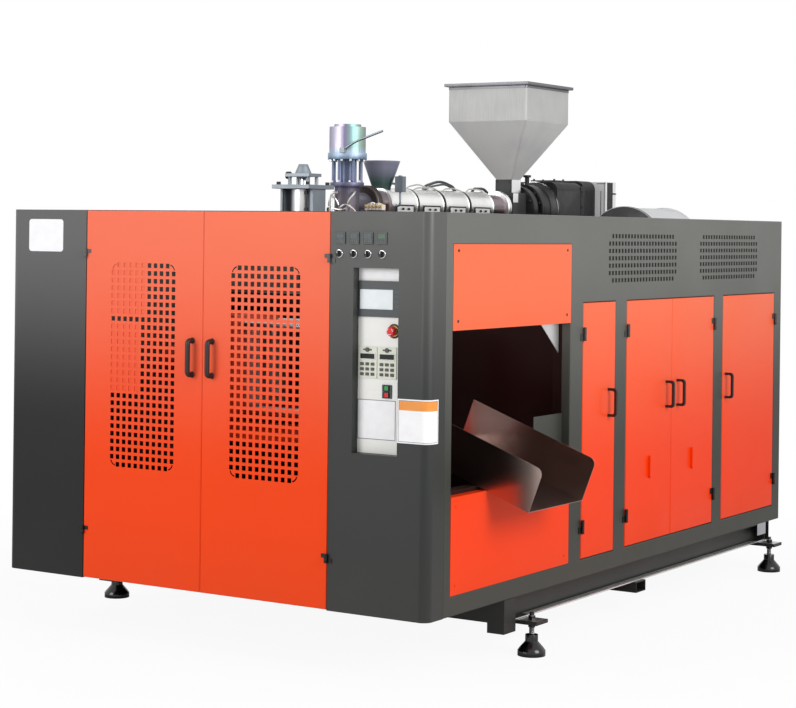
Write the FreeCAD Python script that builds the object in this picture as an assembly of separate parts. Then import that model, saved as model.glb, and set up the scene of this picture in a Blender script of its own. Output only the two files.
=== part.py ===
"""Extrusion blow moulding machine with a sheet metal enclosure, side outlet and top extruder.

Millimetres. X runs across the machine with the outlet side at +X, Y runs from the front doors
to the rear, Z is up. The pieces are placed with x = 0 at mid width, y = 0 at the front plane
and z = 0 on the floor, then moved so that the origin lies under the middle of the whole box.
"""
import FreeCAD
import Part

import math
import os

# ---- enclosure, across the front: column, two door leaves, column ----
LEFT_COLUMN_WIDTH = 438.0
FRONT_LEAF_WIDTH = 645.0
CONTROL_COLUMN_WIDTH = 472.0
COLUMN_DEPTH = 120.0
CORNER_RADIUS = 38.0

# ---- enclosure, along the right side: openings with the stiles between them ----
FRONT_STILE = 53.0
OUTLET_LENGTH = 1000.0
STILE_AFTER_OUTLET = 117.0
NARROW_DOOR_LENGTH = 321.0
STILE_AFTER_NARROW = 115.0
PAIR_LENGTH = 986.0
STILE_AFTER_PAIR = 114.0
END_DOOR_LENGTH = 678.0
REAR_STILE = 96.0

# ---- enclosure, up the right side ----
CASE_LIFT = 250.0
SILL_BAND = 80.0
LOWER_COVER_HEIGHT = 392.0
OUTLET_HEIGHT = 659.0
UPPER_COVER_HEIGHT = 344.0
TOP_BAND = 125.0
VENT_BAND = 382.0

# ---- sheet metal ----
SHEET = 3.0
DOOR_SHEET = 2.0
RETURN_DEPTH = 40.0
DOOR_DEPTH = 25.0
DOOR_GAP = 3.0
COVER_GAP = 0.5
FILLER_LENGTH = 255.0
FILLER_HEIGHT = 263.0

# ---- perforation, drawn at twice the real pitch ----
GRID_PITCH = 64.0
GRID_HOLE = 36.0
GRID_COLUMNS = 6
GRID_ROWS = 14
GRID_CENTRE_HEIGHT = 935.0
VENT_PITCH = 63.6
VENT_HOLE = 36.0
VENT_COLUMNS = 12
VENT_ROWS = 4
VENT_RISE = 193.5
VENT_FROM_REAR_FIRST = 1704.0
VENT_FROM_REAR_SECOND = 704.0

# ---- hinges, handles and turning locks ----
HINGE_STANDOFF = 9.0
HINGE_BARREL_RADIUS = 7.0
HINGE_PIN_RADIUS = 3.5
HINGE_LEAF_WIDTH = 26.0
HINGE_LEAF_THICKNESS = 3.0
FRONT_HINGE_LENGTH = 36.0
SIDE_HINGE_LENGTH = 60.0
FRONT_HINGE_HEIGHTS = (210.0, 1412.0)
SIDE_HINGE_HEIGHTS = (225.0, 1078.0)
RUNNING_CLEARANCE = 0.05
FACE_CLEARANCE = 0.3
HANDLE_STANDOFF = 45.0
HANDLE_BAR = 12.0
HANDLE_WIDTH = 14.0
HANDLE_BEND = 16.0
FRONT_HANDLE_LENGTH = 165.0
SIDE_HANDLE_LENGTH = 130.0
FRONT_HANDLE_HEIGHT = 983.0
SIDE_HANDLE_HEIGHT = 760.0
FRONT_HANDLE_INSET = 52.0
SIDE_HANDLE_INSET = 62.0
NARROW_HANDLE_INSET = 68.0
END_HANDLE_INSET = 35.0
LOCK_LENGTH = 104.0
LOCK_WIDTH = 24.0
LOCK_THICKNESS = 12.0
LOCK_HEIGHT = 428.0
LOCK_FROM_SEAM = 239.0
LOCK_SPINDLE_RADIUS = 5.0

# ---- base ----
RAIL_HEIGHT = 100.0
RAIL_WIDTH = 48.0
RAIL_WEB = 6.0
RAIL_FLANGE = 8.0
RAIL_INSET = 15.0
BEAM_WIDTH = 100.0
BEAM_DROP = 50.0
BEAM_INSET = 2.0
STUB_LENGTH = 80.0
STUB_DROP = 42.0
REAR_BEAM_WIDTH = 60.0
FRONT_BEAM_START = 612.0
MIDDLE_BEAM_START = 1860.0
REAR_BEAM_START = 3440.0
TUBE_WALL = 4.0
FOOT_OUTBOARD = 35.0
FRONT_FOOT = 785.0
REAR_FOOT = 3385.0
FOOT_PLATE = 100.0
FOOT_PLATE_THICKNESS = 15.0
STEM_RADIUS = 10.0
STEM_ABOVE_NUT = 14.0
NUT_RADIUS = 17.0
NUT_HEIGHT = 16.0
PAD_RADIUS = 59.0
PAD_EDGE = 22.0
PAD_SHOULDER_RADIUS = 50.0
PAD_SHOULDER = 34.0
PAD_NECK_RADIUS = 27.0
PAD_NECK = 28.0
PAD_HEIGHT = 88.0

# ---- inner frame ----
BAR = 60.0
DECK_THICKNESS = 10.0
DECK_EDGE_GAP = 1.0
SEAL_GAP = 3.0

# ---- control column ----
PANEL_FROM_RIGHT = 360.0
PANEL_WIDTH = 213.5
PANEL_BOTTOM = 639.0
PANEL_HEIGHT = 737.0
PANEL_RECESS = 41.0
PANEL_FIT = 0.5
RECESS_LIP = 4.0
SCREEN_SIZE = (204.0, 143.0)
SCREEN_RISE = 543.0
KEYPAD_SIZE = (88.0, 127.0)
KEYPAD_RISE = 298.0
KEYPAD_INSET = 48.5
KEYPAD_PITCH = 92.5
BEZEL = 4.0
BODY_MARGIN = 6.0
BODY_DEPTH = 40.0
BUTTON_BLOCK_SIZE = (45.0, 54.0)
BUTTON_BLOCK_RISE = 249.0
BUTTON_BLOCK_INSET = 72.0
BUTTON_SIZE = 18.0
BUTTON_TRAVEL = 4.0
BUTTON_PROUD = 1.0
STOP_RISE = 489.0
STOP_INSET = 42.5
STOP_HEAD_RADIUS = 20.0
STOP_HEAD_THICKNESS = 16.0
STOP_STEM_RADIUS = 8.0
STOP_COLLAR_RADIUS = 15.0
STOP_COLLAR = 12.0
STOP_TRAVEL = 5.0
INSTRUMENT_PITCH = 66.0
INSTRUMENT_FROM_RIGHT = 424.0
INSTRUMENT_HEIGHT = 1494.0
INSTRUMENT_SIZE = 48.0
KNOB_FROM_RIGHT = 429.0
KNOB_PITCH = 68.0
KNOB_HEIGHT = 1431.0
KNOB_RADIUS = 13.5
KNOB_DEPTH = 18.0
KNOB_SHAFT_RADIUS = 5.0
INSTRUMENT_COUNT = 4

# ---- outlet chute ----
CHUTE_WIDTH = 466.0
CHUTE_WALL_HEIGHT = 187.0
CHUTE_SHEET = 2.5
CHUTE_SLOPE = 20.4
CHUTE_START = 276.0
CHUTE_INSIDE = 427.0
CHUTE_OUTSIDE = 211.0
CHUTE_CORNER_RADIUS = 30.0

# ---- extruder ----
AXIS_ABOVE_CASE = 50.0
DIE_SETBACK = 161.5
DIE_BODY_RADIUS = 57.5
DIE_PLATE_RADIUS = 78.0
DIE_PLATE = 20.0
DIE_ROD_RADIUS = 9.0
DIE_ROD_CIRCLE = 62.0
DIE_ROD_LENGTH = 105.0
DIE_ROD_COUNT = 6
DIE_RAM_RADIUS = 28.0
DIE_FLANGE_RADIUS = 90.0
DIE_FLANGE_HEIGHT = 30.0
DIE_CYLINDER_RADIUS = 84.0
DIE_CYLINDER_HEIGHT = 120.0
DIE_CAP_RADIUS = 62.0
DIE_CAP_HEIGHT = 12.0
DIE_BODY_ABOVE_AXIS = 75.0
DIE_BODY_BELOW_AXIS = 420.0
ADAPTER_LENGTH = 140.0
ADAPTER_RADIUS = 50.0
BARREL_RADIUS = 66.0
BARREL_LENGTH = 1296.0
BARREL_FLANGE_RADIUS = 84.0
BARREL_FLANGE = 28.0
REAR_RING_SETBACK = 70.0
SCREW_RADIUS = 30.0
SCREW_SHANK_RADIUS = 22.0
HEATER_START = 123.0
HEATER_LENGTH = 235.0
HEATER_GAP = 8.0
HEATER_RADIUS = 80.0
HEATER_COUNT = 4
HEATER_WINDOW = (124.0, 24.0)
HEATER_WINDOW_DROP = 26.0
HEATER_WINDOW_DEPTH = 10.0
THROAT_LENGTH = 140.0
THROAT_LAND = 2.0
THROAT_HEIGHT = 160.0
NECK_SIZE = 96.0
NECK_WALL = 8.0
NECK_TOP_ABOVE_AXIS = 150.0
HOPPER_SIZE = 465.0
HOPPER_STRAIGHT = 185.0
HOPPER_TAPER = 295.0
HOPPER_SHEET = 3.0
HOPPER_RIM = 16.0
LID_DEPTH = 12.0
LID_HINGE_LENGTH = 120.0
LID_HINGE_SETBACK = 6.0
LID_EAR = 8.0
LID_NOTCH = 8.0
GEARBOX_FLANGE_RADIUS = 118.0
GEARBOX_FLANGE = 48.0
GEARBOX_NECK_RADIUS = 84.0
GEARBOX_NECK = 28.0
GEARBOX_RADIUS = 130.0
GEARBOX_LENGTH = 138.0
GEARBOX_BELL = 46.0
GEARBOX_BELL_RADIUS = 112.0
GEARBOX_BELOW_AXIS = 200.0
GEARBOX_FOOT_WIDTH = 200.0
GEARBOX_BORE_LENGTH = 150.0
BREATHER_SETBACK = 58.0
BREATHER_SEAT = 6.0
BREATHER_RADIUS = 12.0
BREATHER_HEIGHT = 38.0
BREATHER_CAP_RADIUS = 21.0
BREATHER_CAP = 12.0
MOTOR_WIDTH = 280.0
MOTOR_HEIGHT = 292.0
MOTOR_CORNER = 48.0
MOTOR_LENGTH = 562.0
MOTOR_FLANGE_RADIUS = 148.0
MOTOR_FLANGE = 22.0
MOTOR_COVER_SIZE = (150.0, 130.0, 12.0)
MOTOR_COVER_SETBACK = 96.0
COWL_LENGTH = 142.0
COWL_RISE = 14.0
MOTOR_FOOT_WIDTH = 200.0
TERMINAL_BOX_SIZE = (205.0, 120.0, 216.0)
TERMINAL_BOX_ABOVE_AXIS = 156.0
STAND_WIDTH = 260.0
STAND_WALL = 8.0
SADDLE_THICKNESS = 20.0
SADDLE_WIDTH = 200.0

# ---- tank, colour hopper, blow station ----
TANK_RADIUS = 215.0
TANK_LENGTH = 500.0
TANK_OFFSET = 500.0
TANK_START = 2900.0
TANK_TOP_ABOVE_CASE = 62.0
TANK_WALL = 6.0
TANK_PORT_RADIUS = 12.0
TANK_RIM = 6.0
TANK_RIM_WIDTH = 18.0
COLOUR_HOPPER_TOP_RADIUS = 88.5
COLOUR_HOPPER_NECK_RADIUS = 45.0
COLOUR_HOPPER_CONE = 124.0
COLOUR_HOPPER_SETBACK = 290.0
COLOUR_HOPPER_SHEET = 2.0
CARRIAGE_STROKE = 350.0
BLOW_PLATE_SIZE = 200.0
BLOW_PLATE_THICKNESS = 18.0
BLOW_PLATE_ABOVE_CASE = 106.0
BLOW_CYLINDER_RADIUS = 51.5
BLOW_POST = 24.0
BLOW_BRIDGE_WIDTH = 120.0
YOKE_HEIGHT = 93.0
YOKE_PLATE = (132.0, 96.0, 14.0)
YOKE_ROD_RADIUS = 8.0
YOKE_HUB_RADIUS = 38.0
YOKE_HUB_TOP_RADIUS = 20.0
YOKE_HUB_HEIGHT = 42.0
BLOW_PIN_RADIUS = 15.0
BLOW_PIN_LENGTH = 575.0
BLOW_PIN_STROKE = 180.0

# ---- mould carriage ----
FLOOR_SHEET = 3.0
GUIDE_RADIUS = 25.0
GUIDE_OFFSET = 400.0
GUIDE_HEIGHT = 790.0
GUIDE_START = 250.0
GUIDE_BLOCK = 80.0
GUIDE_BEAM = 100.0
CARRIAGE_HALF_LENGTH = 190.0
CARRIAGE_BUSH = 80.0
CARRIAGE_OVER_ROD = 25.0
CARRIAGE_BUSH_INSET = 140.0
CARRIAGE_PLATE = 40.0
CARRIAGE_HALF_WIDTH = 520.0
PLATEN_THICKNESS = 45.0
PLATEN_HALF_LENGTH = 165.0
PLATEN_HEIGHT = 460.0
PLATEN_RISE = 50.0
TIE_BAR_RADIUS = 20.0
TIE_BAR_HALF_SPACING_Y = 130.0
TIE_BAR_HALF_SPACING_Z = 190.0
PISTON_RADIUS = 25.0
CLAMP_CYLINDER_RADIUS = 70.0
CLAMP_CYLINDER_LENGTH = 225.0
MOULD_THICKNESS = 90.0
MOULD_HALF_LENGTH = 110.0
MOULD_HEIGHT = 340.0
CLOSING_STROKE = 150.0
MOULD_PARTING = 0.2
CAVITY_RADIUS = 55.0
CAVITY_FLOOR = 40.0
CAVITY_HEIGHT = 210.0
NECK_RADIUS = 18.0
SHOULDER_HEIGHT = 40.0

# ---- cabinets ----
HYDRAULIC_TANK = (560.0, 700.0, 400.0)
HYDRAULIC_INSET = 180.0
HYDRAULIC_WALL = 6.0
FILLER_RADIUS = 30.0
HYDRAULIC_MOTOR_RADIUS = 100.0
HYDRAULIC_MOTOR_HEIGHT = 340.0
PUMP_SIZE = 140.0
MOUNTING_PLATE_INSET = 400.0
MOUNTING_PLATE_MARGIN = 60.0
MOUNTING_PLATE_HEIGHT = 1000.0
BREAKER_SIZE = (90.0, 80.0, 150.0)
BREAKER_COUNT = 4

# ---- places worked out from the sizes above ----
CASE_WIDTH = LEFT_COLUMN_WIDTH + 2 * FRONT_LEAF_WIDTH + CONTROL_COLUMN_WIDTH
CASE_HEIGHT = SILL_BAND + LOWER_COVER_HEIGHT + OUTLET_HEIGHT + UPPER_COVER_HEIGHT + TOP_BAND
RIGHT = CASE_WIDTH / 2
LEFT = -RIGHT
BOTTOM = CASE_LIFT
TOP = BOTTOM + CASE_HEIGHT
DOORWAY_LEFT = LEFT + LEFT_COLUMN_WIDTH
DOORWAY_RIGHT = RIGHT - CONTROL_COLUMN_WIDTH
FRONT_SEAM = DOORWAY_LEFT + FRONT_LEAF_WIDTH
OUTLET_FRONT = COLUMN_DEPTH + FRONT_STILE
OUTLET_REAR = OUTLET_FRONT + OUTLET_LENGTH
NARROW_FRONT = OUTLET_REAR + STILE_AFTER_OUTLET
NARROW_REAR = NARROW_FRONT + NARROW_DOOR_LENGTH
PAIR_FRONT = NARROW_REAR + STILE_AFTER_NARROW
PAIR_REAR = PAIR_FRONT + PAIR_LENGTH
PAIR_SEAM = (PAIR_FRONT + PAIR_REAR) / 2
END_FRONT = PAIR_REAR + STILE_AFTER_PAIR
END_REAR = END_FRONT + END_DOOR_LENGTH
REAR = END_REAR + REAR_STILE
SILL_TOP = BOTTOM + SILL_BAND
OUTLET_SILL = SILL_TOP + LOWER_COVER_HEIGHT
OUTLET_HEAD = OUTLET_SILL + OUTLET_HEIGHT
COVER_HEAD = OUTLET_HEAD + UPPER_COVER_HEIGHT
SIDE_DOOR_TOP = TOP - VENT_BAND
POST_FACE = RIGHT - SHEET - RETURN_DEPTH
POST_INNER = POST_FACE - BAR
POST_FRONTS = (
    COLUMN_DEPTH,
    OUTLET_REAR + (STILE_AFTER_OUTLET - BAR) / 2,
    PAIR_REAR + (STILE_AFTER_PAIR - BAR) / 2,
    REAR - SHEET - RETURN_DEPTH - BAR,
)
FLOOR_TOP = BOTTOM + BAR + FLOOR_SHEET
DECK_TOP = SIDE_DOOR_TOP
DECK_BOTTOM = DECK_TOP - DECK_THICKNESS
RAIL_BOTTOM = BOTTOM - RAIL_HEIGHT
RAIL_FACE = RIGHT - RAIL_INSET
AXIS_HEIGHT = TOP + AXIS_ABOVE_CASE
DIE_CENTRE = POST_FRONTS[1] - DIE_SETBACK
BLOW_CENTRE = DIE_CENTRE - CARRIAGE_STROKE
BARREL_START = DIE_CENTRE + ADAPTER_LENGTH
BARREL_END = BARREL_START + BARREL_LENGTH
THROAT_START = BARREL_END
THROAT_CENTRE = THROAT_START + THROAT_LENGTH / 2
GEARBOX_START = THROAT_START + THROAT_LENGTH
GEARBOX_BODY_START = GEARBOX_START + GEARBOX_FLANGE + GEARBOX_NECK
MOTOR_START = GEARBOX_BODY_START + GEARBOX_LENGTH
HOPPER_BOTTOM = AXIS_HEIGHT + NECK_TOP_ABOVE_AXIS
HOPPER_TOP = HOPPER_BOTTOM + HOPPER_TAPER + HOPPER_STRAIGHT
PANEL_LEFT = RIGHT - PANEL_FROM_RIGHT
PANEL_FOOT = BOTTOM + PANEL_BOTTOM
PANEL_FACE = PANEL_RECESS - SHEET
CARRIAGE_BOTTOM = GUIDE_HEIGHT + GUIDE_RADIUS + CARRIAGE_OVER_ROD
CARRIAGE_TOP = CARRIAGE_BOTTOM + CARRIAGE_PLATE
MOULD_FACE = CLOSING_STROKE + MOULD_PARTING
CLAMP_HEIGHT = CARRIAGE_TOP + PLATEN_RISE + PLATEN_HEIGHT / 2
BLOW_PLATE_TOP = TOP + BLOW_PLATE_ABOVE_CASE + BLOW_PLATE_THICKNESS

X = FreeCAD.Vector(1, 0, 0)
Y = FreeCAD.Vector(0, 1, 0)
Z = FreeCAD.Vector(0, 0, 1)


# ---- helpers ----
def box(x0, x1, y0, y1, z0, z1):
    """A block between two corners."""
    return Part.makeBox(x1 - x0, y1 - y0, z1 - z0, FreeCAD.Vector(x0, y0, z0))


def cylinder(radius, length, x, y, z, direction):
    """A round bar that starts at x, y, z and runs along direction."""
    return Part.makeCylinder(radius, length, FreeCAD.Vector(x, y, z), direction)


def cone(radius_start, radius_end, length, x, y, z, direction):
    """A round taper that starts at x, y, z and runs along direction."""
    start = FreeCAD.Vector(x, y, z)
    return Part.makeCone(radius_start, radius_end, length, start, direction)


def fuse(shapes):
    """One solid from shapes that meet."""
    return shapes[0].multiFuse(shapes[1:]).removeSplitter()


def group(shapes):
    """Separate solids of one sub-part."""
    return Part.makeCompound(shapes)


def rectangle(x0, x1, z0, z1):
    """A closed outline in the front plane."""
    corners = ((x0, z0), (x1, z0), (x1, z1), (x0, z1), (x0, z0))
    return Part.makePolygon([FreeCAD.Vector(x, 0, z) for x, z in corners])


def sheet_with_holes(outline, holes, thickness):
    """A flat sheet from the front plane inwards, with its holes."""
    face = Part.makeFace([outline] + holes, "Part::FaceMakerCheese")
    return face.extrude(FreeCAD.Vector(0, thickness, 0))


def flange_ring(x0, x1, z0, z1, y0, y1, sheet):
    """The four edges folded back around an opening x0-x1, z0-z1."""
    outer = box(x0 - sheet, x1 + sheet, y0, y1, z0 - sheet, z1 + sheet)
    return outer.cut(box(x0, x1, y0, y1, z0, z1))


def pan(x0, x1, z0, z1, depth, sheet, holes):
    """A sheet with its four edges folded back, as a door skin or a cover."""
    face = sheet_with_holes(rectangle(x0, x1, z0, z1), holes, sheet)
    edges = flange_ring(x0 + sheet, x1 - sheet, z0 + sheet, z1 - sheet, sheet, depth, sheet)
    return fuse([face, edges])


def to_right_side(shape):
    """Turns a piece drawn in the front plane onto the right side: its x becomes y."""
    turned = shape.copy()
    turned.rotate(FreeCAD.Vector(0, 0, 0), Z, 90)
    turned.translate(FreeCAD.Vector(RIGHT, 0, 0))
    return turned


def mirrored_left(shape):
    """The copy of a piece on the other side of mid width."""
    return shape.mirror(FreeCAD.Vector(0, 0, 0), X)


def tube_x(x0, x1, y0, y1, z0, z1):
    """A rectangular tube that runs across."""
    bore = box(x0, x1, y0 + TUBE_WALL, y1 - TUBE_WALL, z0 + TUBE_WALL, z1 - TUBE_WALL)
    return box(x0, x1, y0, y1, z0, z1).cut(bore)


def tube_y(x0, x1, y0, y1, z0, z1):
    """A rectangular tube that runs front to rear."""
    bore = box(x0 + TUBE_WALL, x1 - TUBE_WALL, y0, y1, z0 + TUBE_WALL, z1 - TUBE_WALL)
    return box(x0, x1, y0, y1, z0, z1).cut(bore)


def tube_z(x0, x1, y0, y1, z0, z1):
    """A rectangular tube that stands up."""
    bore = box(x0 + TUBE_WALL, x1 - TUBE_WALL, y0 + TUBE_WALL, y1 - TUBE_WALL, z0, z1)
    return box(x0, x1, y0, y1, z0, z1).cut(bore)


def hole_grid(centre_x, centre_z, columns, rows, pitch, hole):
    """Outlines of a grid of square holes with its four corner holes left out."""
    outlines = []
    for column in range(columns):
        for row in range(rows):
            at_side = column in (0, columns - 1)
            at_end = row in (0, rows - 1)
            if at_side and at_end:
                continue
            x = centre_x + (column - (columns - 1) / 2) * pitch
            z = centre_z + (row - (rows - 1) / 2) * pitch
            outlines.append(rectangle(x - hole / 2, x + hole / 2, z - hole / 2, z + hole / 2))
    return outlines


# ---- base ----
def channel_rail():
    """The right-hand base channel, open to the outside."""
    inner = RAIL_FACE - RAIL_WIDTH
    start = FRONT_BEAM_START + BEAM_WIDTH
    outer = box(inner, RAIL_FACE, start, REAR_BEAM_START, RAIL_BOTTOM, BOTTOM)
    space = box(
        inner + RAIL_WEB,
        RAIL_FACE,
        start,
        REAR_BEAM_START,
        RAIL_BOTTOM + RAIL_FLANGE,
        BOTTOM - RAIL_FLANGE,
    )
    return outer.cut(space)


def foot_plate(foot_y):
    """The plate under the right-hand channel that takes a levelling foot."""
    centre = RIGHT + FOOT_OUTBOARD
    plate = box(
        RAIL_FACE - RAIL_WIDTH,
        centre + FOOT_PLATE / 2,
        foot_y - FOOT_PLATE / 2,
        foot_y + FOOT_PLATE / 2,
        RAIL_BOTTOM - FOOT_PLATE_THICKNESS,
        RAIL_BOTTOM,
    )
    hole_bottom = RAIL_BOTTOM - FOOT_PLATE_THICKNESS
    hole = cylinder(
        STEM_RADIUS + FACE_CLEARANCE, FOOT_PLATE_THICKNESS, centre, foot_y, hole_bottom, Z
    )
    return plate.cut(hole)


def base_frame():
    """Two channels on three cross beams, with the foot plates and the stubs in front."""
    low = RAIL_BOTTOM - BEAM_DROP
    stub_low = RAIL_BOTTOM - STUB_DROP
    reach = RIGHT - BEAM_INSET
    front_end = FRONT_BEAM_START + BEAM_WIDTH
    middle_end = MIDDLE_BEAM_START + BEAM_WIDTH
    rear_end = REAR_BEAM_START + REAR_BEAM_WIDTH
    beams = [
        tube_x(-reach, reach, FRONT_BEAM_START, front_end, RAIL_BOTTOM, BOTTOM),
        tube_x(-reach, reach, MIDDLE_BEAM_START, middle_end, low, RAIL_BOTTOM),
        tube_x(-RAIL_FACE, RAIL_FACE, REAR_BEAM_START, rear_end, RAIL_BOTTOM, BOTTOM),
    ]
    stub = tube_x(
        reach - STUB_LENGTH, reach, FRONT_BEAM_START, front_end, stub_low, RAIL_BOTTOM
    )
    right = [channel_rail(), stub, foot_plate(FRONT_FOOT), foot_plate(REAR_FOOT)]
    return group(beams + right + [mirrored_left(piece) for piece in right])


def levelling_foot(foot_x, foot_y):
    """A threaded stem with two nuts, and the cone pad that it stands in."""
    pad_profile = [
        (0, 0),
        (PAD_RADIUS, 0),
        (PAD_RADIUS, PAD_EDGE),
        (PAD_SHOULDER_RADIUS, PAD_SHOULDER),
        (PAD_NECK_RADIUS, PAD_HEIGHT - PAD_NECK),
        (PAD_NECK_RADIUS, PAD_HEIGHT),
        (0, PAD_HEIGHT),
        (0, 0),
    ]
    outline = Part.makePolygon([FreeCAD.Vector(r, 0, z) for r, z in pad_profile])
    pad = Part.Face(outline).revolve(FreeCAD.Vector(0, 0, 0), Z, 360)
    pad.translate(FreeCAD.Vector(foot_x, foot_y, 0))
    plate_bottom = RAIL_BOTTOM - FOOT_PLATE_THICKNESS
    stem_top = RAIL_BOTTOM + NUT_HEIGHT + STEM_ABOVE_NUT
    stem = cylinder(STEM_RADIUS, stem_top - PAD_HEIGHT, foot_x, foot_y, PAD_HEIGHT, Z)
    nuts = [hexagon(foot_x, foot_y, z) for z in (RAIL_BOTTOM, plate_bottom - NUT_HEIGHT)]
    return [pad, fuse([stem] + nuts)]


def hexagon(x, y, z):
    """A nut's hexagonal body, with its lower face at z."""
    corners = []
    for step in range(7):
        angle = math.radians(60 * step)
        corner_x = x + NUT_RADIUS * math.cos(angle)
        corner_y = y + NUT_RADIUS * math.sin(angle)
        corners.append(FreeCAD.Vector(corner_x, corner_y, z))
    return Part.Face(Part.makePolygon(corners)).extrude(FreeCAD.Vector(0, 0, NUT_HEIGHT))


def levelling_feet():
    """The four feet at the corners of the base."""
    pieces = []
    for foot_y in (FRONT_FOOT, REAR_FOOT):
        for side in (-1, 1):
            pieces += levelling_foot(side * (RIGHT + FOOT_OUTBOARD), foot_y)
    return group(pieces)


# ---- inner frame ----
def side_bars():
    """The sole, posts and top bar behind the right side."""
    bars = [
        tube_y(POST_INNER, POST_FACE, COLUMN_DEPTH, POST_FRONTS[3] + BAR, BOTTOM, BOTTOM + BAR),
        tube_y(POST_INNER, POST_FACE, COLUMN_DEPTH, POST_FRONTS[3] + BAR, TOP - BAR, TOP),
    ]
    for front in POST_FRONTS:
        bars.append(tube_z(POST_INNER, POST_FACE, front, front + BAR, BOTTOM + BAR, TOP - BAR))
    return bars


def machine_frame():
    """Square tubes that carry the sheets and the deck, each bar a solid of its own."""
    bars = side_bars()
    bars += [mirrored_left(bar) for bar in bars]
    for front in POST_FRONTS:
        bars.append(tube_x(-POST_INNER, POST_INNER, front, front + BAR, BOTTOM, BOTTOM + BAR))
    for front in POST_FRONTS[1:]:
        low = DECK_BOTTOM - BAR
        bars.append(tube_x(-POST_INNER, POST_INNER, front, front + BAR, low, DECK_BOTTOM))
    rear = POST_FRONTS[3]
    bars.append(tube_x(-POST_INNER, POST_INNER, rear, rear + BAR, TOP - BAR, TOP))
    header_front = DOOR_DEPTH + SEAL_GAP
    for low in (BOTTOM, TOP - BAR):
        bars.append(
            tube_x(DOORWAY_LEFT, DOORWAY_RIGHT, header_front, header_front + BAR, low, low + BAR)
        )
    return group(bars + [chute_bar(), floor_sheet(), bulkhead()])


def chute_underside(x):
    """Height of the chute's underside where it passes x."""
    rise = (RIGHT - x) * math.tan(math.radians(CHUTE_SLOPE))
    return OUTLET_SILL - COVER_GAP + rise


def chute_bar():
    """The bar between the first two posts that carries the chute."""
    top = chute_underside(POST_FACE)
    front = POST_FRONTS[0] + BAR
    return tube_y(POST_INNER, POST_FACE, front, POST_FRONTS[1], top - BAR, top)


def floor_sheet():
    """The floor of the enclosure, on the cross bars."""
    front = POST_FRONTS[0]
    low = BOTTOM + BAR
    return box(-POST_INNER, POST_INNER, front, POST_FRONTS[3] + BAR, low, low + FLOOR_SHEET)


def bulkhead():
    """The wall between the moulding bay and the cabinets, behind the second posts."""
    front = POST_FRONTS[1] + BAR
    return box(-POST_INNER, POST_INNER, front, front + SHEET, FLOOR_TOP, DECK_BOTTOM)


# ---- enclosure ----
def column_shell(x0, x1, rounded_x):
    """A column folded from sheet, closed on top and open below, with one rounded corner."""
    shapes = []
    for inset in (0, SHEET):
        low = BOTTOM - inset
        block = box(x0 + inset, x1 - inset, inset, COLUMN_DEPTH - inset, low, TOP - inset)
        corner_x = rounded_x + (inset if rounded_x < 0 else -inset)
        corner = [
            edge
            for edge in block.Edges
            if abs(edge.CenterOfMass.x - corner_x) < 0.01
            and abs(edge.CenterOfMass.y - inset) < 0.01
            and abs(edge.tangentAt(edge.FirstParameter).z) > 0.99
        ]
        shapes.append(block.makeFillet(CORNER_RADIUS - inset, corner))
    return shapes[0].cut(shapes[1])


def front_left_column():
    """The plain column left of the doors."""
    return column_shell(LEFT, DOORWAY_LEFT, LEFT)


def instrument_centres():
    """Centres of the temperature controllers on the control column."""
    height = BOTTOM + INSTRUMENT_HEIGHT
    first = RIGHT - INSTRUMENT_FROM_RIGHT
    return [(first + n * INSTRUMENT_PITCH, height) for n in range(INSTRUMENT_COUNT)]


def knob_centres():
    """Centres of the selector knobs under them."""
    height = BOTTOM + KNOB_HEIGHT
    first = RIGHT - KNOB_FROM_RIGHT
    return [(first + n * KNOB_PITCH, height) for n in range(INSTRUMENT_COUNT)]


def control_column():
    """The column with the recess for the panel and the holes for its instruments."""
    shell = column_shell(DOORWAY_RIGHT, RIGHT, RIGHT)
    x0 = PANEL_LEFT
    x1 = PANEL_LEFT + PANEL_WIDTH
    z0 = PANEL_FOOT
    z1 = PANEL_FOOT + PANEL_HEIGHT
    floor = PANEL_RECESS + SHEET
    walls = box(x0 - SHEET, x1 + SHEET, 0, floor, z0 - SHEET, z1 + SHEET)
    cuts = [
        box(x0, x1, -SHEET, PANEL_RECESS, z0, z1),
        box(x0 + RECESS_LIP, x1 - RECESS_LIP, 0, 2 * floor, z0 + RECESS_LIP, z1 - RECESS_LIP),
    ]
    half = (INSTRUMENT_SIZE - BODY_MARGIN + PANEL_FIT) / 2
    for x, z in instrument_centres():
        cuts.append(box(x - half, x + half, -SHEET, 2 * SHEET, z - half, z + half))
    for x, z in knob_centres():
        radius = KNOB_SHAFT_RADIUS + RUNNING_CLEARANCE
        cuts.append(cylinder(radius, 3 * SHEET, x, -SHEET, z, Y))
    return fuse([shell, walls]).cut(group(cuts))


def side_openings():
    """The four openings of the right side: front, rear, low, high."""
    return (
        (OUTLET_FRONT, OUTLET_REAR, SILL_TOP, COVER_HEAD),
        (NARROW_FRONT, NARROW_REAR, SILL_TOP, SIDE_DOOR_TOP),
        (PAIR_FRONT, PAIR_REAR, SILL_TOP, SIDE_DOOR_TOP),
        (END_FRONT, END_REAR, SILL_TOP, SIDE_DOOR_TOP),
    )


def vent_holes():
    """Both ventilation grids above the doors."""
    centre_z = SIDE_DOOR_TOP + VENT_RISE
    holes = []
    for from_rear in (VENT_FROM_REAR_FIRST, VENT_FROM_REAR_SECOND):
        centre = REAR - from_rear
        holes += hole_grid(centre, centre_z, VENT_COLUMNS, VENT_ROWS, VENT_PITCH, VENT_HOLE)
    return holes


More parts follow.
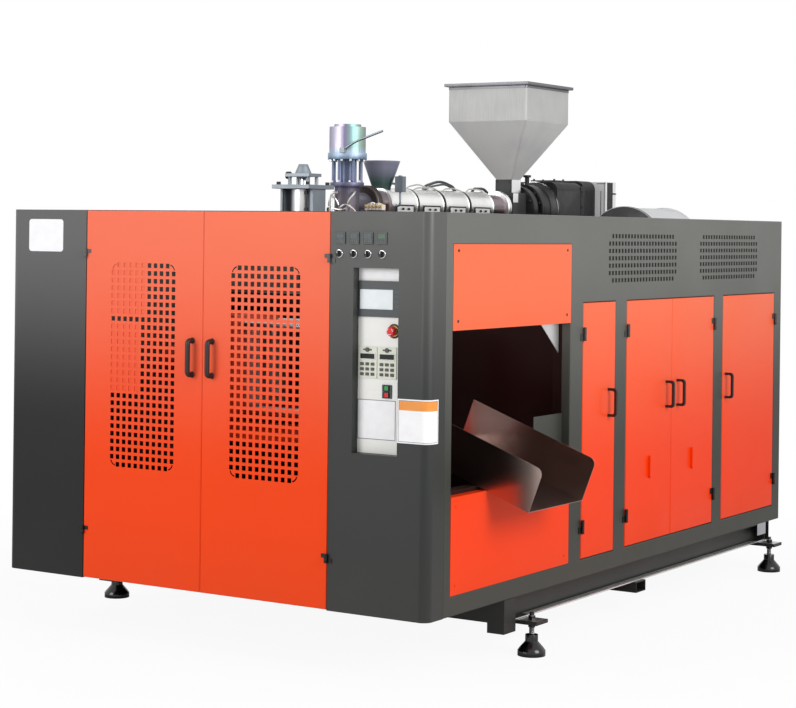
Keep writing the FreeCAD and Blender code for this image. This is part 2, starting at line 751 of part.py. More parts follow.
def right_side_frame():
    """The grey side sheet with folded edges round every opening, and the recessed filler."""
    holes = [rectangle(*opening) for opening in side_openings()]
    outline = rectangle(COLUMN_DEPTH, REAR, BOTTOM, TOP)
    face = sheet_with_holes(outline, holes + vent_holes(), SHEET)
    depth = SHEET + RETURN_DEPTH
    edge = (COLUMN_DEPTH + SHEET, REAR - SHEET, BOTTOM + SHEET, TOP - SHEET)
    rings = [flange_ring(*opening, SHEET, depth, SHEET) for opening in side_openings()]
    rings.append(flange_ring(*edge, SHEET, depth, SHEET))
    filler = box(
        OUTLET_REAR - FILLER_LENGTH,
        OUTLET_REAR,
        depth - SHEET,
        depth,
        OUTLET_SILL,
        OUTLET_SILL + FILLER_HEIGHT,
    )
    return to_right_side(fuse([face] + rings + [filler]))


def left_side_panel():
    """The plain sheet of the hidden side."""
    panel = pan(COLUMN_DEPTH, REAR, BOTTOM, TOP, SHEET + RETURN_DEPTH, SHEET, [])
    return mirrored_left(to_right_side(panel))


def rear_panel():
    """The plain rear sheet between the two sides."""
    half = POST_FACE - COVER_GAP
    panel = pan(-half, half, BOTTOM, TOP, SHEET + RETURN_DEPTH, SHEET, [])
    panel.rotate(FreeCAD.Vector(0, 0, 0), Z, 180)
    panel.translate(FreeCAD.Vector(0, REAR, 0))
    return panel


def outlet_covers():
    """The two fixed covers above and below the outlet."""
    x0 = OUTLET_FRONT + COVER_GAP
    x1 = OUTLET_REAR - COVER_GAP
    depth = SHEET + RETURN_DEPTH
    covers = [
        pan(x0, x1, SILL_TOP + COVER_GAP, OUTLET_SILL - COVER_GAP, depth, DOOR_SHEET, []),
        pan(x0, x1, OUTLET_HEAD, COVER_HEAD - COVER_GAP, depth, DOOR_SHEET, []),
    ]
    return to_right_side(group(covers))


def outlet_chute():
    """The folded channel that slides the bottles out, square cut with rounded upper corners."""
    outer = box(-CHUTE_INSIDE, CHUTE_OUTSIDE, 0, CHUTE_WIDTH, 0, CHUTE_WALL_HEIGHT)
    corner = [
        edge
        for edge in outer.Edges
        if abs(edge.CenterOfMass.x - CHUTE_OUTSIDE) < 0.01
        and abs(edge.CenterOfMass.z - CHUTE_WALL_HEIGHT) < 0.01
    ]
    outer = outer.makeFillet(CHUTE_CORNER_RADIUS, corner)
    inner = box(
        -CHUTE_INSIDE,
        CHUTE_OUTSIDE,
        CHUTE_SHEET,
        CHUTE_WIDTH - CHUTE_SHEET,
        CHUTE_SHEET,
        CHUTE_WALL_HEIGHT,
    )
    chute = outer.cut(inner)
    chute.rotate(FreeCAD.Vector(0, 0, 0), Y, CHUTE_SLOPE)
    chute.translate(
        FreeCAD.Vector(RIGHT, OUTLET_FRONT + CHUTE_START, chute_underside(RIGHT))
    )
    return chute


# ---- doors ----
def hinge_frame_half(axis_x, side, centre_z, length):
    """The lower, fixed half of a lift-off hinge with its pin; the door lies on side."""
    low = centre_z - length / 2
    half = length / 2 - FACE_CLEARANCE
    end_x = axis_x - side * HINGE_LEAF_WIDTH
    leaf_x = sorted((axis_x, end_x))
    leaf = box(*leaf_x, -HINGE_LEAF_THICKNESS, 0, low, low + half)
    barrel = cylinder(HINGE_BARREL_RADIUS, half, axis_x, -HINGE_STANDOFF, low, Z)
    pin = cylinder(HINGE_PIN_RADIUS, length - HINGE_PIN_RADIUS, axis_x, -HINGE_STANDOFF, low, Z)
    return fuse([leaf, barrel, pin])


def hinge_door_half(axis_x, side, centre_z, length):
    """The upper half, welded to the door."""
    end_x = axis_x + side * HINGE_LEAF_WIDTH
    leaf_x = sorted((axis_x, end_x))
    leaf = box(*leaf_x, -HINGE_LEAF_THICKNESS, 0, centre_z, centre_z + length / 2)
    barrel = cylinder(
        HINGE_BARREL_RADIUS, length / 2, axis_x, -HINGE_STANDOFF, centre_z, Z
    )
    bore = cylinder(
        HINGE_PIN_RADIUS + RUNNING_CLEARANCE,
        length / 2 - HINGE_PIN_RADIUS + FACE_CLEARANCE,
        axis_x,
        -HINGE_STANDOFF,
        centre_z,
        Z,
    )
    return fuse([leaf, barrel]).cut(bore)


def hinge_axis(x0, x1, side):
    """Where a leaf between x0 and x1 turns: in the middle of its gap."""
    return x0 + DOOR_GAP / 2 if side > 0 else x1 - DOOR_GAP / 2


def door(x0, x1, z0, z1, side, heights, length, holes):
    """A door leaf in the opening x0-x1, z0-z1, hinged at x0 (side 1) or x1 (side -1)."""
    x_low = x0 + (DOOR_GAP if side > 0 else DOOR_GAP / 2)
    x_high = x1 - (DOOR_GAP / 2 if side > 0 else DOOR_GAP)
    leaf = pan(x_low, x_high, z0 + DOOR_GAP, z1 - DOOR_GAP, DOOR_DEPTH, DOOR_SHEET, holes)
    axis_x = hinge_axis(x0, x1, side)
    hinges = [hinge_door_half(axis_x, side, BOTTOM + height, length) for height in heights]
    return fuse([leaf] + hinges)


def front_door(side):
    """A perforated front leaf: side 1 is hinged on the left, side -1 on the right."""
    x0 = DOORWAY_LEFT if side > 0 else FRONT_SEAM
    x1 = x0 + FRONT_LEAF_WIDTH
    centre_z = BOTTOM + GRID_CENTRE_HEIGHT
    centre_x = (x0 + x1) / 2
    holes = hole_grid(centre_x, centre_z, GRID_COLUMNS, GRID_ROWS, GRID_PITCH, GRID_HOLE)
    return door(x0, x1, BOTTOM, TOP, side, FRONT_HINGE_HEIGHTS, FRONT_HINGE_LENGTH, holes)


def side_door(x0, x1, side, spindle_x):
    """A plain leaf of the right side, with a hole for its lock where it has one."""
    leaf = door(
        x0, x1, SILL_TOP, SIDE_DOOR_TOP, side, SIDE_HINGE_HEIGHTS, SIDE_HINGE_LENGTH, []
    )
    if spindle_x is not None:
        radius = LOCK_SPINDLE_RADIUS + RUNNING_CLEARANCE
        hole_z = BOTTOM + LOCK_HEIGHT
        leaf = leaf.cut(cylinder(radius, 2 * DOOR_DEPTH, spindle_x, -DOOR_DEPTH, hole_z, Y))
    return to_right_side(leaf)


def lock_positions():
    """Where the two turning locks stand along the pair of doors."""
    return (PAIR_SEAM - LOCK_FROM_SEAM, PAIR_SEAM + LOCK_FROM_SEAM)


def door_hinges():
    """The fixed halves of all twelve hinges."""
    front = []
    for x0, side in ((DOORWAY_LEFT, 1), (FRONT_SEAM, -1)):
        axis_x = hinge_axis(x0, x0 + FRONT_LEAF_WIDTH, side)
        for height in FRONT_HINGE_HEIGHTS:
            front.append(
                hinge_frame_half(axis_x, side, BOTTOM + height, FRONT_HINGE_LENGTH)
            )
    right = []
    for axis_x, side in side_hinge_axes():
        for height in SIDE_HINGE_HEIGHTS:
            half = hinge_frame_half(axis_x, side, BOTTOM + height, SIDE_HINGE_LENGTH)
            right.append(to_right_side(half))
    return group(front + right)


def side_hinge_axes():
    """Hinge lines of the narrow door, the pair and the end door, and the side of each door."""
    return (
        (hinge_axis(NARROW_FRONT, NARROW_REAR, 1), 1),
        (hinge_axis(PAIR_FRONT, PAIR_SEAM, 1), 1),
        (hinge_axis(PAIR_SEAM, PAIR_REAR, -1), -1),
        (hinge_axis(END_FRONT, END_REAR, -1), -1),
    )


def bow_handle(x, centre_height, length):
    """A black bow handle with rounded bends, its feet on the front plane."""
    low = BOTTOM + centre_height - length / 2
    high = low + length
    half = HANDLE_WIDTH / 2
    shapes = []
    for inset, radius in ((0, HANDLE_BEND), (HANDLE_BAR, HANDLE_BEND - HANDLE_BAR / 2)):
        front = inset - HANDLE_STANDOFF
        block = box(x - half, x + half, front, 0, low + inset, high - inset)
        bends = [edge for edge in block.Edges if is_bend(edge, front)]
        shapes.append(block.makeFillet(radius, bends))
    return shapes[0].cut(shapes[1])


def is_bend(edge, front):
    """True for the two cross edges at the outer face of a handle block."""
    across = abs(edge.tangentAt(edge.FirstParameter).x) > 0.99
    return across and abs(edge.CenterOfMass.y - front) < 0.01


def turning_lock(x):
    """An oval turning handle on a spindle, with its cam behind the door skin."""
    z = BOTTOM + LOCK_HEIGHT
    front = -FACE_CLEARANCE - LOCK_THICKNESS
    radius = LOCK_WIDTH / 2
    reach = LOCK_LENGTH / 2 - radius
    grip = [box(x - radius, x + radius, front, -FACE_CLEARANCE, z - reach, z + reach)]
    for end in (-reach, reach):
        grip.append(cylinder(radius, LOCK_THICKNESS, x, front, z + end, Y))
    spindle = cylinder(LOCK_SPINDLE_RADIUS, DOOR_DEPTH + LOCK_THICKNESS, x, front, z, Y)
    cam_start = DOOR_DEPTH - 2 * SHEET
    cam = box(x - radius, x + radius, cam_start, cam_start + SHEET, z - reach, z + radius)
    return to_right_side(fuse(grip + [spindle, cam]))


# ---- controls ----
def recess_centre():
    """Mid width of the panel recess."""
    return PANEL_LEFT + PANEL_WIDTH / 2


def keypad_centres():
    """Mid width of the two key units, side by side from the recess's left edge."""
    first = PANEL_LEFT + KEYPAD_INSET
    return (first, first + KEYPAD_PITCH)


def bezel_and_body(x, z, size, face_y):
    """A panel unit: a bezel on the panel's face and a body through the cut-out behind."""
    half_w = size[0] / 2
    half_h = size[1] / 2
    bezel = box(x - half_w, x + half_w, face_y - BEZEL, face_y, z - half_h, z + half_h)
    body_w = half_w - BODY_MARGIN / 2
    body_h = half_h - BODY_MARGIN / 2
    back = face_y + BODY_DEPTH
    body = box(x - body_w, x + body_w, face_y, back, z - body_h, z + body_h)
    return fuse([bezel, body])


def body_hole(x, z, size):
    """The cut-out in the panel for a unit's body."""
    half_w = (size[0] - BODY_MARGIN + PANEL_FIT) / 2
    half_h = (size[1] - BODY_MARGIN + PANEL_FIT) / 2
    return box(x - half_w, x + half_w, 0, 2 * PANEL_RECESS, z - half_h, z + half_h)


def button_block_x():
    """Mid width of the twin push-button."""
    return PANEL_LEFT + PANEL_WIDTH - BUTTON_BLOCK_INSET


def stop_x():
    """Mid width of the emergency stop."""
    return PANEL_LEFT + PANEL_WIDTH - STOP_INSET


def control_panel():
    """The white plate in the recess, with a cut-out for each unit and the stop's collar."""
    x0 = PANEL_LEFT + PANEL_FIT
    x1 = PANEL_LEFT + PANEL_WIDTH - PANEL_FIT
    z0 = PANEL_FOOT + PANEL_FIT
    z1 = PANEL_FOOT + PANEL_HEIGHT - PANEL_FIT
    plate = box(x0, x1, PANEL_FACE, PANEL_RECESS, z0, z1)
    stop_z = PANEL_FOOT + STOP_RISE
    collar_y = PANEL_FACE - STOP_COLLAR
    collar = cylinder(STOP_COLLAR_RADIUS, STOP_COLLAR, stop_x(), collar_y, stop_z, Y)
    holes = [
        body_hole(recess_centre(), PANEL_FOOT + SCREEN_RISE + SCREEN_SIZE[1] / 2, SCREEN_SIZE),
        body_hole(button_block_x(), PANEL_FOOT + BUTTON_BLOCK_RISE, BUTTON_BLOCK_SIZE),
    ]
    for x in keypad_centres():
        holes.append(body_hole(x, PANEL_FOOT + KEYPAD_RISE + KEYPAD_SIZE[1] / 2, KEYPAD_SIZE))
    radius = STOP_STEM_RADIUS + RUNNING_CLEARANCE
    holes.append(cylinder(radius, 2 * PANEL_RECESS, stop_x(), 0, stop_z, Y))
    return fuse([plate, collar]).cut(group(holes))


def touch_screen():
    """The operator screen."""
    z = PANEL_FOOT + SCREEN_RISE + SCREEN_SIZE[1] / 2
    return bezel_and_body(recess_centre(), z, SCREEN_SIZE, PANEL_FACE)


def operator_keypads():
    """The two key units under the screen."""
    z = PANEL_FOOT + KEYPAD_RISE + KEYPAD_SIZE[1] / 2
    return group([bezel_and_body(x, z, KEYPAD_SIZE, PANEL_FACE) for x in keypad_centres()])


def temperature_controllers():
    """The row of square controllers in the column's face."""
    size = (INSTRUMENT_SIZE, INSTRUMENT_SIZE)
    return group([bezel_and_body(x, z, size, 0) for x, z in instrument_centres()])


def button_centre(upper):
    """Centre of the start (upper) or stop (lower) button in its block."""
    offset = BUTTON_BLOCK_SIZE[1] / 4
    z = PANEL_FOOT + BUTTON_BLOCK_RISE
    return button_block_x(), z + (offset if upper else -offset)


def push_button_block():
    """The housing of the start and stop buttons."""
    z = PANEL_FOOT + BUTTON_BLOCK_RISE
    block = bezel_and_body(button_block_x(), z, BUTTON_BLOCK_SIZE, PANEL_FACE)
    half = BUTTON_SIZE / 2 + FACE_CLEARANCE
    wells = []
    for upper in (True, False):
        x, centre_z = button_centre(upper)
        back = PANEL_FACE + BODY_DEPTH / 2
        well = box(x - half, x + half, 0, back, centre_z - half, centre_z + half)
        wells.append(well)
    return block.cut(group(wells))


def push_button(upper):
    """A square button that stands proud of its block by more than its travel."""
    x, z = button_centre(upper)
    half = BUTTON_SIZE / 2
    front = PANEL_FACE - BEZEL - BUTTON_TRAVEL - BUTTON_PROUD
    back = PANEL_FACE + BODY_DEPTH / 2 - BUTTON_TRAVEL - FACE_CLEARANCE
    return box(x - half, x + half, front, back, z - half, z + half)


def emergency_stop():
    """The mushroom head on its stem."""
    z = PANEL_FOOT + STOP_RISE
    back = PANEL_FACE - STOP_COLLAR - STOP_TRAVEL - FACE_CLEARANCE
    front = back - STOP_HEAD_THICKNESS
    head = cylinder(STOP_HEAD_RADIUS, STOP_HEAD_THICKNESS / 2, stop_x(), back, z, -Y)
    crown_start = back - STOP_HEAD_THICKNESS / 2
    crown = cone(
        STOP_HEAD_RADIUS,
        STOP_HEAD_RADIUS - STOP_HEAD_THICKNESS / 3,
        STOP_HEAD_THICKNESS / 2,
        stop_x(),
        crown_start,
        z,
        -Y,
    )
    stem = cylinder(STOP_STEM_RADIUS, PANEL_RECESS + BODY_DEPTH / 2 - front, stop_x(), front, z, Y)
    return fuse([head, crown, stem])


def selector_knob(centre):
    """A round knob with a raised grip bar and its shaft through the column's face."""
    x, z = centre
    front = -FACE_CLEARANCE - KNOB_DEPTH
    disc = cylinder(KNOB_RADIUS, KNOB_DEPTH / 2, x, -FACE_CLEARANCE - KNOB_DEPTH / 2, z, Y)
    half_grip = KNOB_RADIUS / 3
    height = KNOB_RADIUS * 0.9
    grip = box(x - half_grip, x + half_grip, front, -FACE_CLEARANCE, z - height, z + height)
    shaft = cylinder(KNOB_SHAFT_RADIUS, KNOB_DEPTH, x, -KNOB_DEPTH / 2, z, Y)
    return fuse([disc, grip, shaft])


# ---- extruder ----
def extruder_deck():
    """The deck plate with the welded stand of the drive and the barrel's saddle."""
    front = POST_FRONTS[1]
    rear = POST_FRONTS[3] + BAR
    half = POST_INNER - DECK_EDGE_GAP
    plate = box(-half, half, front, rear, DECK_BOTTOM, DECK_TOP)
    stand_top = AXIS_HEIGHT - GEARBOX_BELOW_AXIS
    half = STAND_WIDTH / 2
    stand_end = MOTOR_START + MOTOR_LENGTH
    stand = box(-half, half, GEARBOX_BODY_START, stand_end, DECK_TOP, stand_top)
    inner = half - STAND_WALL
    tunnel = box(
        -inner, inner, GEARBOX_BODY_START, stand_end, DECK_TOP, stand_top - STAND_WALL
    )
    saddle_y = front + SADDLE_THICKNESS
    half = SADDLE_WIDTH / 2
    saddle = box(-half, half, saddle_y, saddle_y + SADDLE_THICKNESS, DECK_TOP, AXIS_HEIGHT)
    seat = cylinder(
        BARREL_RADIUS + FACE_CLEARANCE, 3 * SADDLE_THICKNESS, 0, front, AXIS_HEIGHT, Y
    )
    return fuse([plate, stand.cut(tunnel), saddle.cut(seat)])


def barrel():
    """The extruder barrel with its flange and rear ring, bored for the screw."""
    body = cylinder(BARREL_RADIUS, BARREL_LENGTH, 0, BARREL_START, AXIS_HEIGHT, Y)
    collars = []
    for start in (BARREL_START, BARREL_END - REAR_RING_SETBACK):
        collars.append(
            cylinder(BARREL_FLANGE_RADIUS, BARREL_FLANGE, 0, start, AXIS_HEIGHT, Y)
        )
    radius = SCREW_RADIUS + RUNNING_CLEARANCE
    bore = cylinder(radius, BARREL_LENGTH, 0, BARREL_START, AXIS_HEIGHT, Y)
    return fuse([body] + collars).cut(bore)


def heater_bands():
    """Four heater bands clamped round the barrel, each with a window for its terminals."""
    bands = []
    for index in range(HEATER_COUNT):
        start = BARREL_START + HEATER_START + index * (HEATER_LENGTH + HEATER_GAP)
        ring = cylinder(HEATER_RADIUS, HEATER_LENGTH, 0, start, AXIS_HEIGHT, Y)
        bore = cylinder(
            BARREL_RADIUS + FACE_CLEARANCE, HEATER_LENGTH, 0, start, AXIS_HEIGHT, Y
        )
        length, height = HEATER_WINDOW
        window_y = start + (HEATER_LENGTH - length) / 2
        window_z = AXIS_HEIGHT - HEATER_WINDOW_DROP - height / 2
        window = box(
            HEATER_RADIUS - HEATER_WINDOW_DEPTH,
            HEATER_RADIUS,
            window_y,
            window_y + length,
            window_z,
            window_z + height,
        )
        bands.append(ring.cut(group([bore, window])))
    return group(bands)


def feed_throat():
    """A block round the screw, the walls of its duct above, and a square neck to the hopper."""
    half = THROAT_LENGTH / 2
    end = THROAT_START + THROAT_LENGTH
    low = AXIS_HEIGHT - THROAT_HEIGHT / 2
    top = AXIS_HEIGHT + THROAT_HEIGHT / 2
    seat = AXIS_HEIGHT + SCREW_RADIUS + THROAT_LAND
    block = box(-half, half, THROAT_START, end, low, seat)
    radius = SCREW_RADIUS + RUNNING_CLEARANCE
    screw_bore = cylinder(radius, THROAT_LENGTH, 0, THROAT_START, AXIS_HEIGHT, Y)
    inner = NECK_SIZE / 2 - NECK_WALL
    duct = box(-inner, inner, THROAT_CENTRE - inner, THROAT_CENTRE + inner, AXIS_HEIGHT, seat)
    riser = square_walls(THROAT_LENGTH, THROAT_LENGTH, seat, top, half - inner)
    neck = square_walls(NECK_SIZE, NECK_SIZE, top, HOPPER_BOTTOM, NECK_WALL)
    return group([block.cut(group([screw_bore, duct]))] + riser + neck)


def square_walls(size_low, size_high, z_low, z_high, wall):
    """Four mitred walls over the throat, each a plate of its own."""
    walls = []
    for quarter in range(4):
        wires = []
        for size, z in ((size_low, z_low), (size_high, z_high)):
            outer = size / 2
            inner = outer - wall
            corners = (
                (-outer, -outer),
                (outer, -outer),
                (inner, -inner),
                (-inner, -inner),
                (-outer, -outer),
            )
            wires.append(Part.makePolygon([FreeCAD.Vector(x, y, z) for x, y in corners]))
        plate = Part.makeLoft(wires, True, True)
        plate.rotate(FreeCAD.Vector(0, 0, 0), Z, 90 * quarter)
        plate.translate(FreeCAD.Vector(0, THROAT_CENTRE, 0))
        walls.append(plate)
    return walls


def lid_hinge_axis():
    """Where the lid turns, behind the rim: its y and z."""
    rear = THROAT_CENTRE + HOPPER_SIZE / 2 + HOPPER_RIM
    return rear + LID_HINGE_SETBACK, HOPPER_TOP + FACE_CLEARANCE + HINGE_BARREL_RADIUS


def hopper_rim():
    """The flat rim in four strips; the rear one carries the lid's pin between two ears."""
    inner = HOPPER_SIZE / 2
    outer = inner + HOPPER_RIM
    front = THROAT_CENTRE - outer
    rear = THROAT_CENTRE + outer
    low = HOPPER_TOP - SHEET
    strips = [
        box(-outer, -inner, front, rear, low, HOPPER_TOP),
        box(inner, outer, front, rear, low, HOPPER_TOP),
        box(-inner, inner, front, THROAT_CENTRE - inner, low, HOPPER_TOP),
    ]
    axis_y, axis_z = lid_hinge_axis()
    reach = LID_HINGE_LENGTH / 2
    end = axis_y + HINGE_BARREL_RADIUS
    hinge = [box(-inner, inner, THROAT_CENTRE + inner, rear, low, HOPPER_TOP)]
    for side in (-1, 1):
        ear_x = sorted((side * reach, side * (reach + LID_EAR)))
        hinge.append(box(*ear_x, rear, end, low, axis_z + HINGE_BARREL_RADIUS))
    hinge.append(cylinder(HINGE_PIN_RADIUS, 2 * reach, -reach, axis_y, axis_z, X))
    return strips + [fuse(hinge)]


def feed_hopper():
    """The square sheet hopper, welded from its walls and rim."""
    shoulder = HOPPER_BOTTOM + HOPPER_TAPER
    taper = square_walls(NECK_SIZE, HOPPER_SIZE, HOPPER_BOTTOM, shoulder, HOPPER_SHEET)
    straight = square_walls(HOPPER_SIZE, HOPPER_SIZE, shoulder, HOPPER_TOP, HOPPER_SHEET)
    return group(taper + straight + hopper_rim())


def hopper_lid():
    """The lid on the rim, folded down over its edge."""
    half = HOPPER_SIZE / 2 + HOPPER_RIM
    low = HOPPER_TOP + FACE_CLEARANCE
    lid = box(
        -half, half, THROAT_CENTRE - half, THROAT_CENTRE + half, low, low + LID_DEPTH
    )
    inner = half - DOOR_SHEET
    space = box(
        -inner,
        inner,
        THROAT_CENTRE - inner,
        THROAT_CENTRE + inner,
        low,
        low + LID_DEPTH - DOOR_SHEET,
    )
    axis_y, axis_z = lid_hinge_axis()
    start = FACE_CLEARANCE - LID_HINGE_LENGTH / 2
    length = -2 * start
    knuckle = cylinder(HINGE_BARREL_RADIUS, length, start, axis_y, axis_z, X)
    cuts = [
        cylinder(HINGE_PIN_RADIUS + RUNNING_CLEARANCE, length, start, axis_y, axis_z, X)
    ]
    rear = THROAT_CENTRE + half
    ear_end = LID_HINGE_LENGTH / 2 + LID_EAR + FACE_CLEARANCE
    for side in (-1, 1):
        notch_x = sorted((side * (start + length), side * ear_end))
        cuts.append(box(*notch_x, rear - LID_NOTCH, rear, low, low + LID_DEPTH))
    return fuse([lid.cut(space), knuckle]).cut(group(cuts))


def extruder_screw():
    """The screw in its barrel, with the shank that the gearbox drives."""
    start = BARREL_START + BARREL_FLANGE
    body = cylinder(SCREW_RADIUS, GEARBOX_START - start, 0, start, AXIS_HEIGHT, Y)
    tip = cone(SCREW_RADIUS, 0, BARREL_FLANGE, 0, start, AXIS_HEIGHT, -Y)
    shank_length = GEARBOX_BORE_LENGTH - FACE_CLEARANCE
    shank = cylinder(SCREW_SHANK_RADIUS, shank_length, 0, GEARBOX_START, AXIS_HEIGHT, Y)
    return fuse([tip, body, shank])


def gearbox():
    """The drum of the reduction gearbox: flange, neck, bell to the motor, foot and breather."""
    neck_start = GEARBOX_START + GEARBOX_FLANGE
    bell_start = MOTOR_START - GEARBOX_BELL
    length = bell_start - GEARBOX_BODY_START
    drum = cylinder(GEARBOX_RADIUS, length, 0, GEARBOX_BODY_START, AXIS_HEIGHT, Y)
    bell = cone(
        GEARBOX_BELL_RADIUS,
        MOTOR_FLANGE_RADIUS,
        GEARBOX_BELL,
        0,
        bell_start,
        AXIS_HEIGHT,
        Y,
    )
    flange = cylinder(GEARBOX_FLANGE_RADIUS, GEARBOX_FLANGE, 0, GEARBOX_START, AXIS_HEIGHT, Y)
    neck = cylinder(GEARBOX_NECK_RADIUS, GEARBOX_NECK, 0, neck_start, AXIS_HEIGHT, Y)
    half = GEARBOX_FOOT_WIDTH / 2
    low = AXIS_HEIGHT - GEARBOX_BELOW_AXIS
    foot = box(-half, half, GEARBOX_BODY_START, MOTOR_START, low, AXIS_HEIGHT)
    high = AXIS_HEIGHT + GEARBOX_RADIUS
    breather_y = GEARBOX_BODY_START + BREATHER_SETBACK
    seat = high - BREATHER_SEAT
    height = BREATHER_HEIGHT + BREATHER_SEAT
    breather = cylinder(BREATHER_RADIUS, height, 0, breather_y, seat, Z)
    cap_z = high + BREATHER_HEIGHT
    cap = cylinder(BREATHER_CAP_RADIUS, BREATHER_CAP, 0, breather_y, cap_z, Z)
    radius = SCREW_SHANK_RADIUS + RUNNING_CLEARANCE
    bore = cylinder(radius, GEARBOX_BORE_LENGTH, 0, GEARBOX_START, AXIS_HEIGHT, Y)
    return fuse([drum, bell, flange, neck, foot, breather, cap]).cut(bore)


def motor_block(half_height, start, end):
    """A length of the motor's housing: square with four rounded long edges."""
    half = MOTOR_WIDTH / 2
    low = AXIS_HEIGHT - half_height
    block = box(-half, half, start, end, low, AXIS_HEIGHT + half_height)
    corners = [
        edge for edge in block.Edges if abs(edge.tangentAt(edge.FirstParameter).y) > 0.99
    ]
    return block.makeFillet(MOTOR_CORNER, corners)


def drive_motor():
    """The drive motor on its foot: flange, frame, cover, fan cowl and the terminal box behind."""
    width, length, height = TERMINAL_BOX_SIZE
    end = MOTOR_START + MOTOR_LENGTH
    rear = end - length
    flange = cylinder(MOTOR_FLANGE_RADIUS, MOTOR_FLANGE, 0, MOTOR_START, AXIS_HEIGHT, Y)
    frame = motor_block(MOTOR_HEIGHT / 2, MOTOR_START, rear)
    cowl = motor_block(MOTOR_HEIGHT / 2 + COWL_RISE, rear - COWL_LENGTH, rear)
    half = MOTOR_FOOT_WIDTH / 2
    foot = box(
        -half, half, MOTOR_START, rear, AXIS_HEIGHT - GEARBOX_BELOW_AXIS, AXIS_HEIGHT
    )
    top = AXIS_HEIGHT + TERMINAL_BOX_ABOVE_AXIS
    terminal = box(0, width, rear, end, top - height, top)
    cover_width, cover_length, cover_height = MOTOR_COVER_SIZE
    cover_start = MOTOR_START + MOTOR_COVER_SETBACK
    frame_top = AXIS_HEIGHT + MOTOR_HEIGHT / 2
    cover = box(
        -cover_width / 2,
        cover_width / 2,
        cover_start,
        cover_start + cover_length,
        frame_top,
        frame_top + cover_height,
    )
    return fuse([flange, frame, cowl, foot, terminal, cover])


def air_tank():
    """The hollow drum beside the drive, on two welded feet, with a port at its rear."""
    centre_z = TOP + TANK_TOP_ABOVE_CASE - TANK_RADIUS
    drum = [cylinder(TANK_RADIUS, TANK_LENGTH, TANK_OFFSET, TANK_START, centre_z, Y)]
    for start in (TANK_START, TANK_START + TANK_LENGTH - TANK_RIM_WIDTH):
        rim = cylinder(TANK_RADIUS + TANK_RIM, TANK_RIM_WIDTH, TANK_OFFSET, start, centre_z, Y)
        drum.append(rim)
        foot_low = TANK_OFFSET - TANK_RADIUS / 2
        foot_high = TANK_OFFSET + TANK_RADIUS / 2
        drum.append(
            box(foot_low, foot_high, start, start + TANK_RIM_WIDTH, DECK_TOP, centre_z)
        )
    inside = TANK_LENGTH - 2 * TANK_WALL
    start = TANK_START + TANK_WALL
    space = cylinder(TANK_RADIUS - TANK_WALL, inside, TANK_OFFSET, start, centre_z, Y)
    port = cylinder(TANK_PORT_RADIUS, TANK_LENGTH, TANK_OFFSET, start, centre_z, Y)
    return fuse(drum).cut(fuse([space, port]))


def die_rods(low):
    """The rods that hold the push cylinder over the accumulator, on a circle."""
    rods = []
    for step in range(DIE_ROD_COUNT):
        angle = math.tau * (step + 0.5) / DIE_ROD_COUNT
        x = DIE_ROD_CIRCLE * math.cos(angle)
        y = DIE_CENTRE + DIE_ROD_CIRCLE * math.sin(angle)
        rods.append(cylinder(DIE_ROD_RADIUS, DIE_ROD_LENGTH, x, y, low, Z))
    return rods


def die_head():
    """The accumulator with its adapter, and the push cylinder on rods over it."""
    shapes = [cylinder(ADAPTER_RADIUS, ADAPTER_LENGTH, 0, DIE_CENTRE, AXIS_HEIGHT, Y)]
    low = AXIS_HEIGHT - DIE_BODY_BELOW_AXIS
    stack = (
        (DIE_BODY_RADIUS, DIE_BODY_BELOW_AXIS + DIE_BODY_ABOVE_AXIS),
        (DIE_PLATE_RADIUS, DIE_PLATE),
        (DIE_RAM_RADIUS, DIE_ROD_LENGTH),
        (DIE_FLANGE_RADIUS, DIE_FLANGE_HEIGHT),
        (DIE_CYLINDER_RADIUS, DIE_CYLINDER_HEIGHT),
        (DIE_CAP_RADIUS, DIE_CAP_HEIGHT),
    )
    for radius, height in stack:
        if radius == DIE_RAM_RADIUS:
            shapes += die_rods(low)
        shapes.append(cylinder(radius, height, 0, DIE_CENTRE, low, Z))
        low += height
    return fuse(shapes)


def colour_hopper():
    """The small conical hopper for colour granulate on the front of the barrel."""
    y = DIE_CENTRE + COLOUR_HOPPER_SETBACK
    low = AXIS_HEIGHT + HEATER_RADIUS + FACE_CLEARANCE
    shapes = []
    for wall in (0, COLOUR_HOPPER_SHEET):
        neck = COLOUR_HOPPER_NECK_RADIUS - wall
        rim = COLOUR_HOPPER_TOP_RADIUS - wall
        shapes.append(cone(neck, rim, COLOUR_HOPPER_CONE, 0, y, low, Z))
    foot_low = low - HEATER_RADIUS / 4
    foot_height = low + COLOUR_HOPPER_SHEET - foot_low
    foot = cylinder(COLOUR_HOPPER_NECK_RADIUS, foot_height, 0, y, foot_low, Z)
    band = cylinder(HEATER_RADIUS + FACE_CLEARANCE, HEATER_LENGTH, 0, y, AXIS_HEIGHT, Y)
    band.translate(FreeCAD.Vector(0, -HEATER_LENGTH / 2, 0))
    return fuse([shapes[0].cut(shapes[1]), foot.cut(band)])


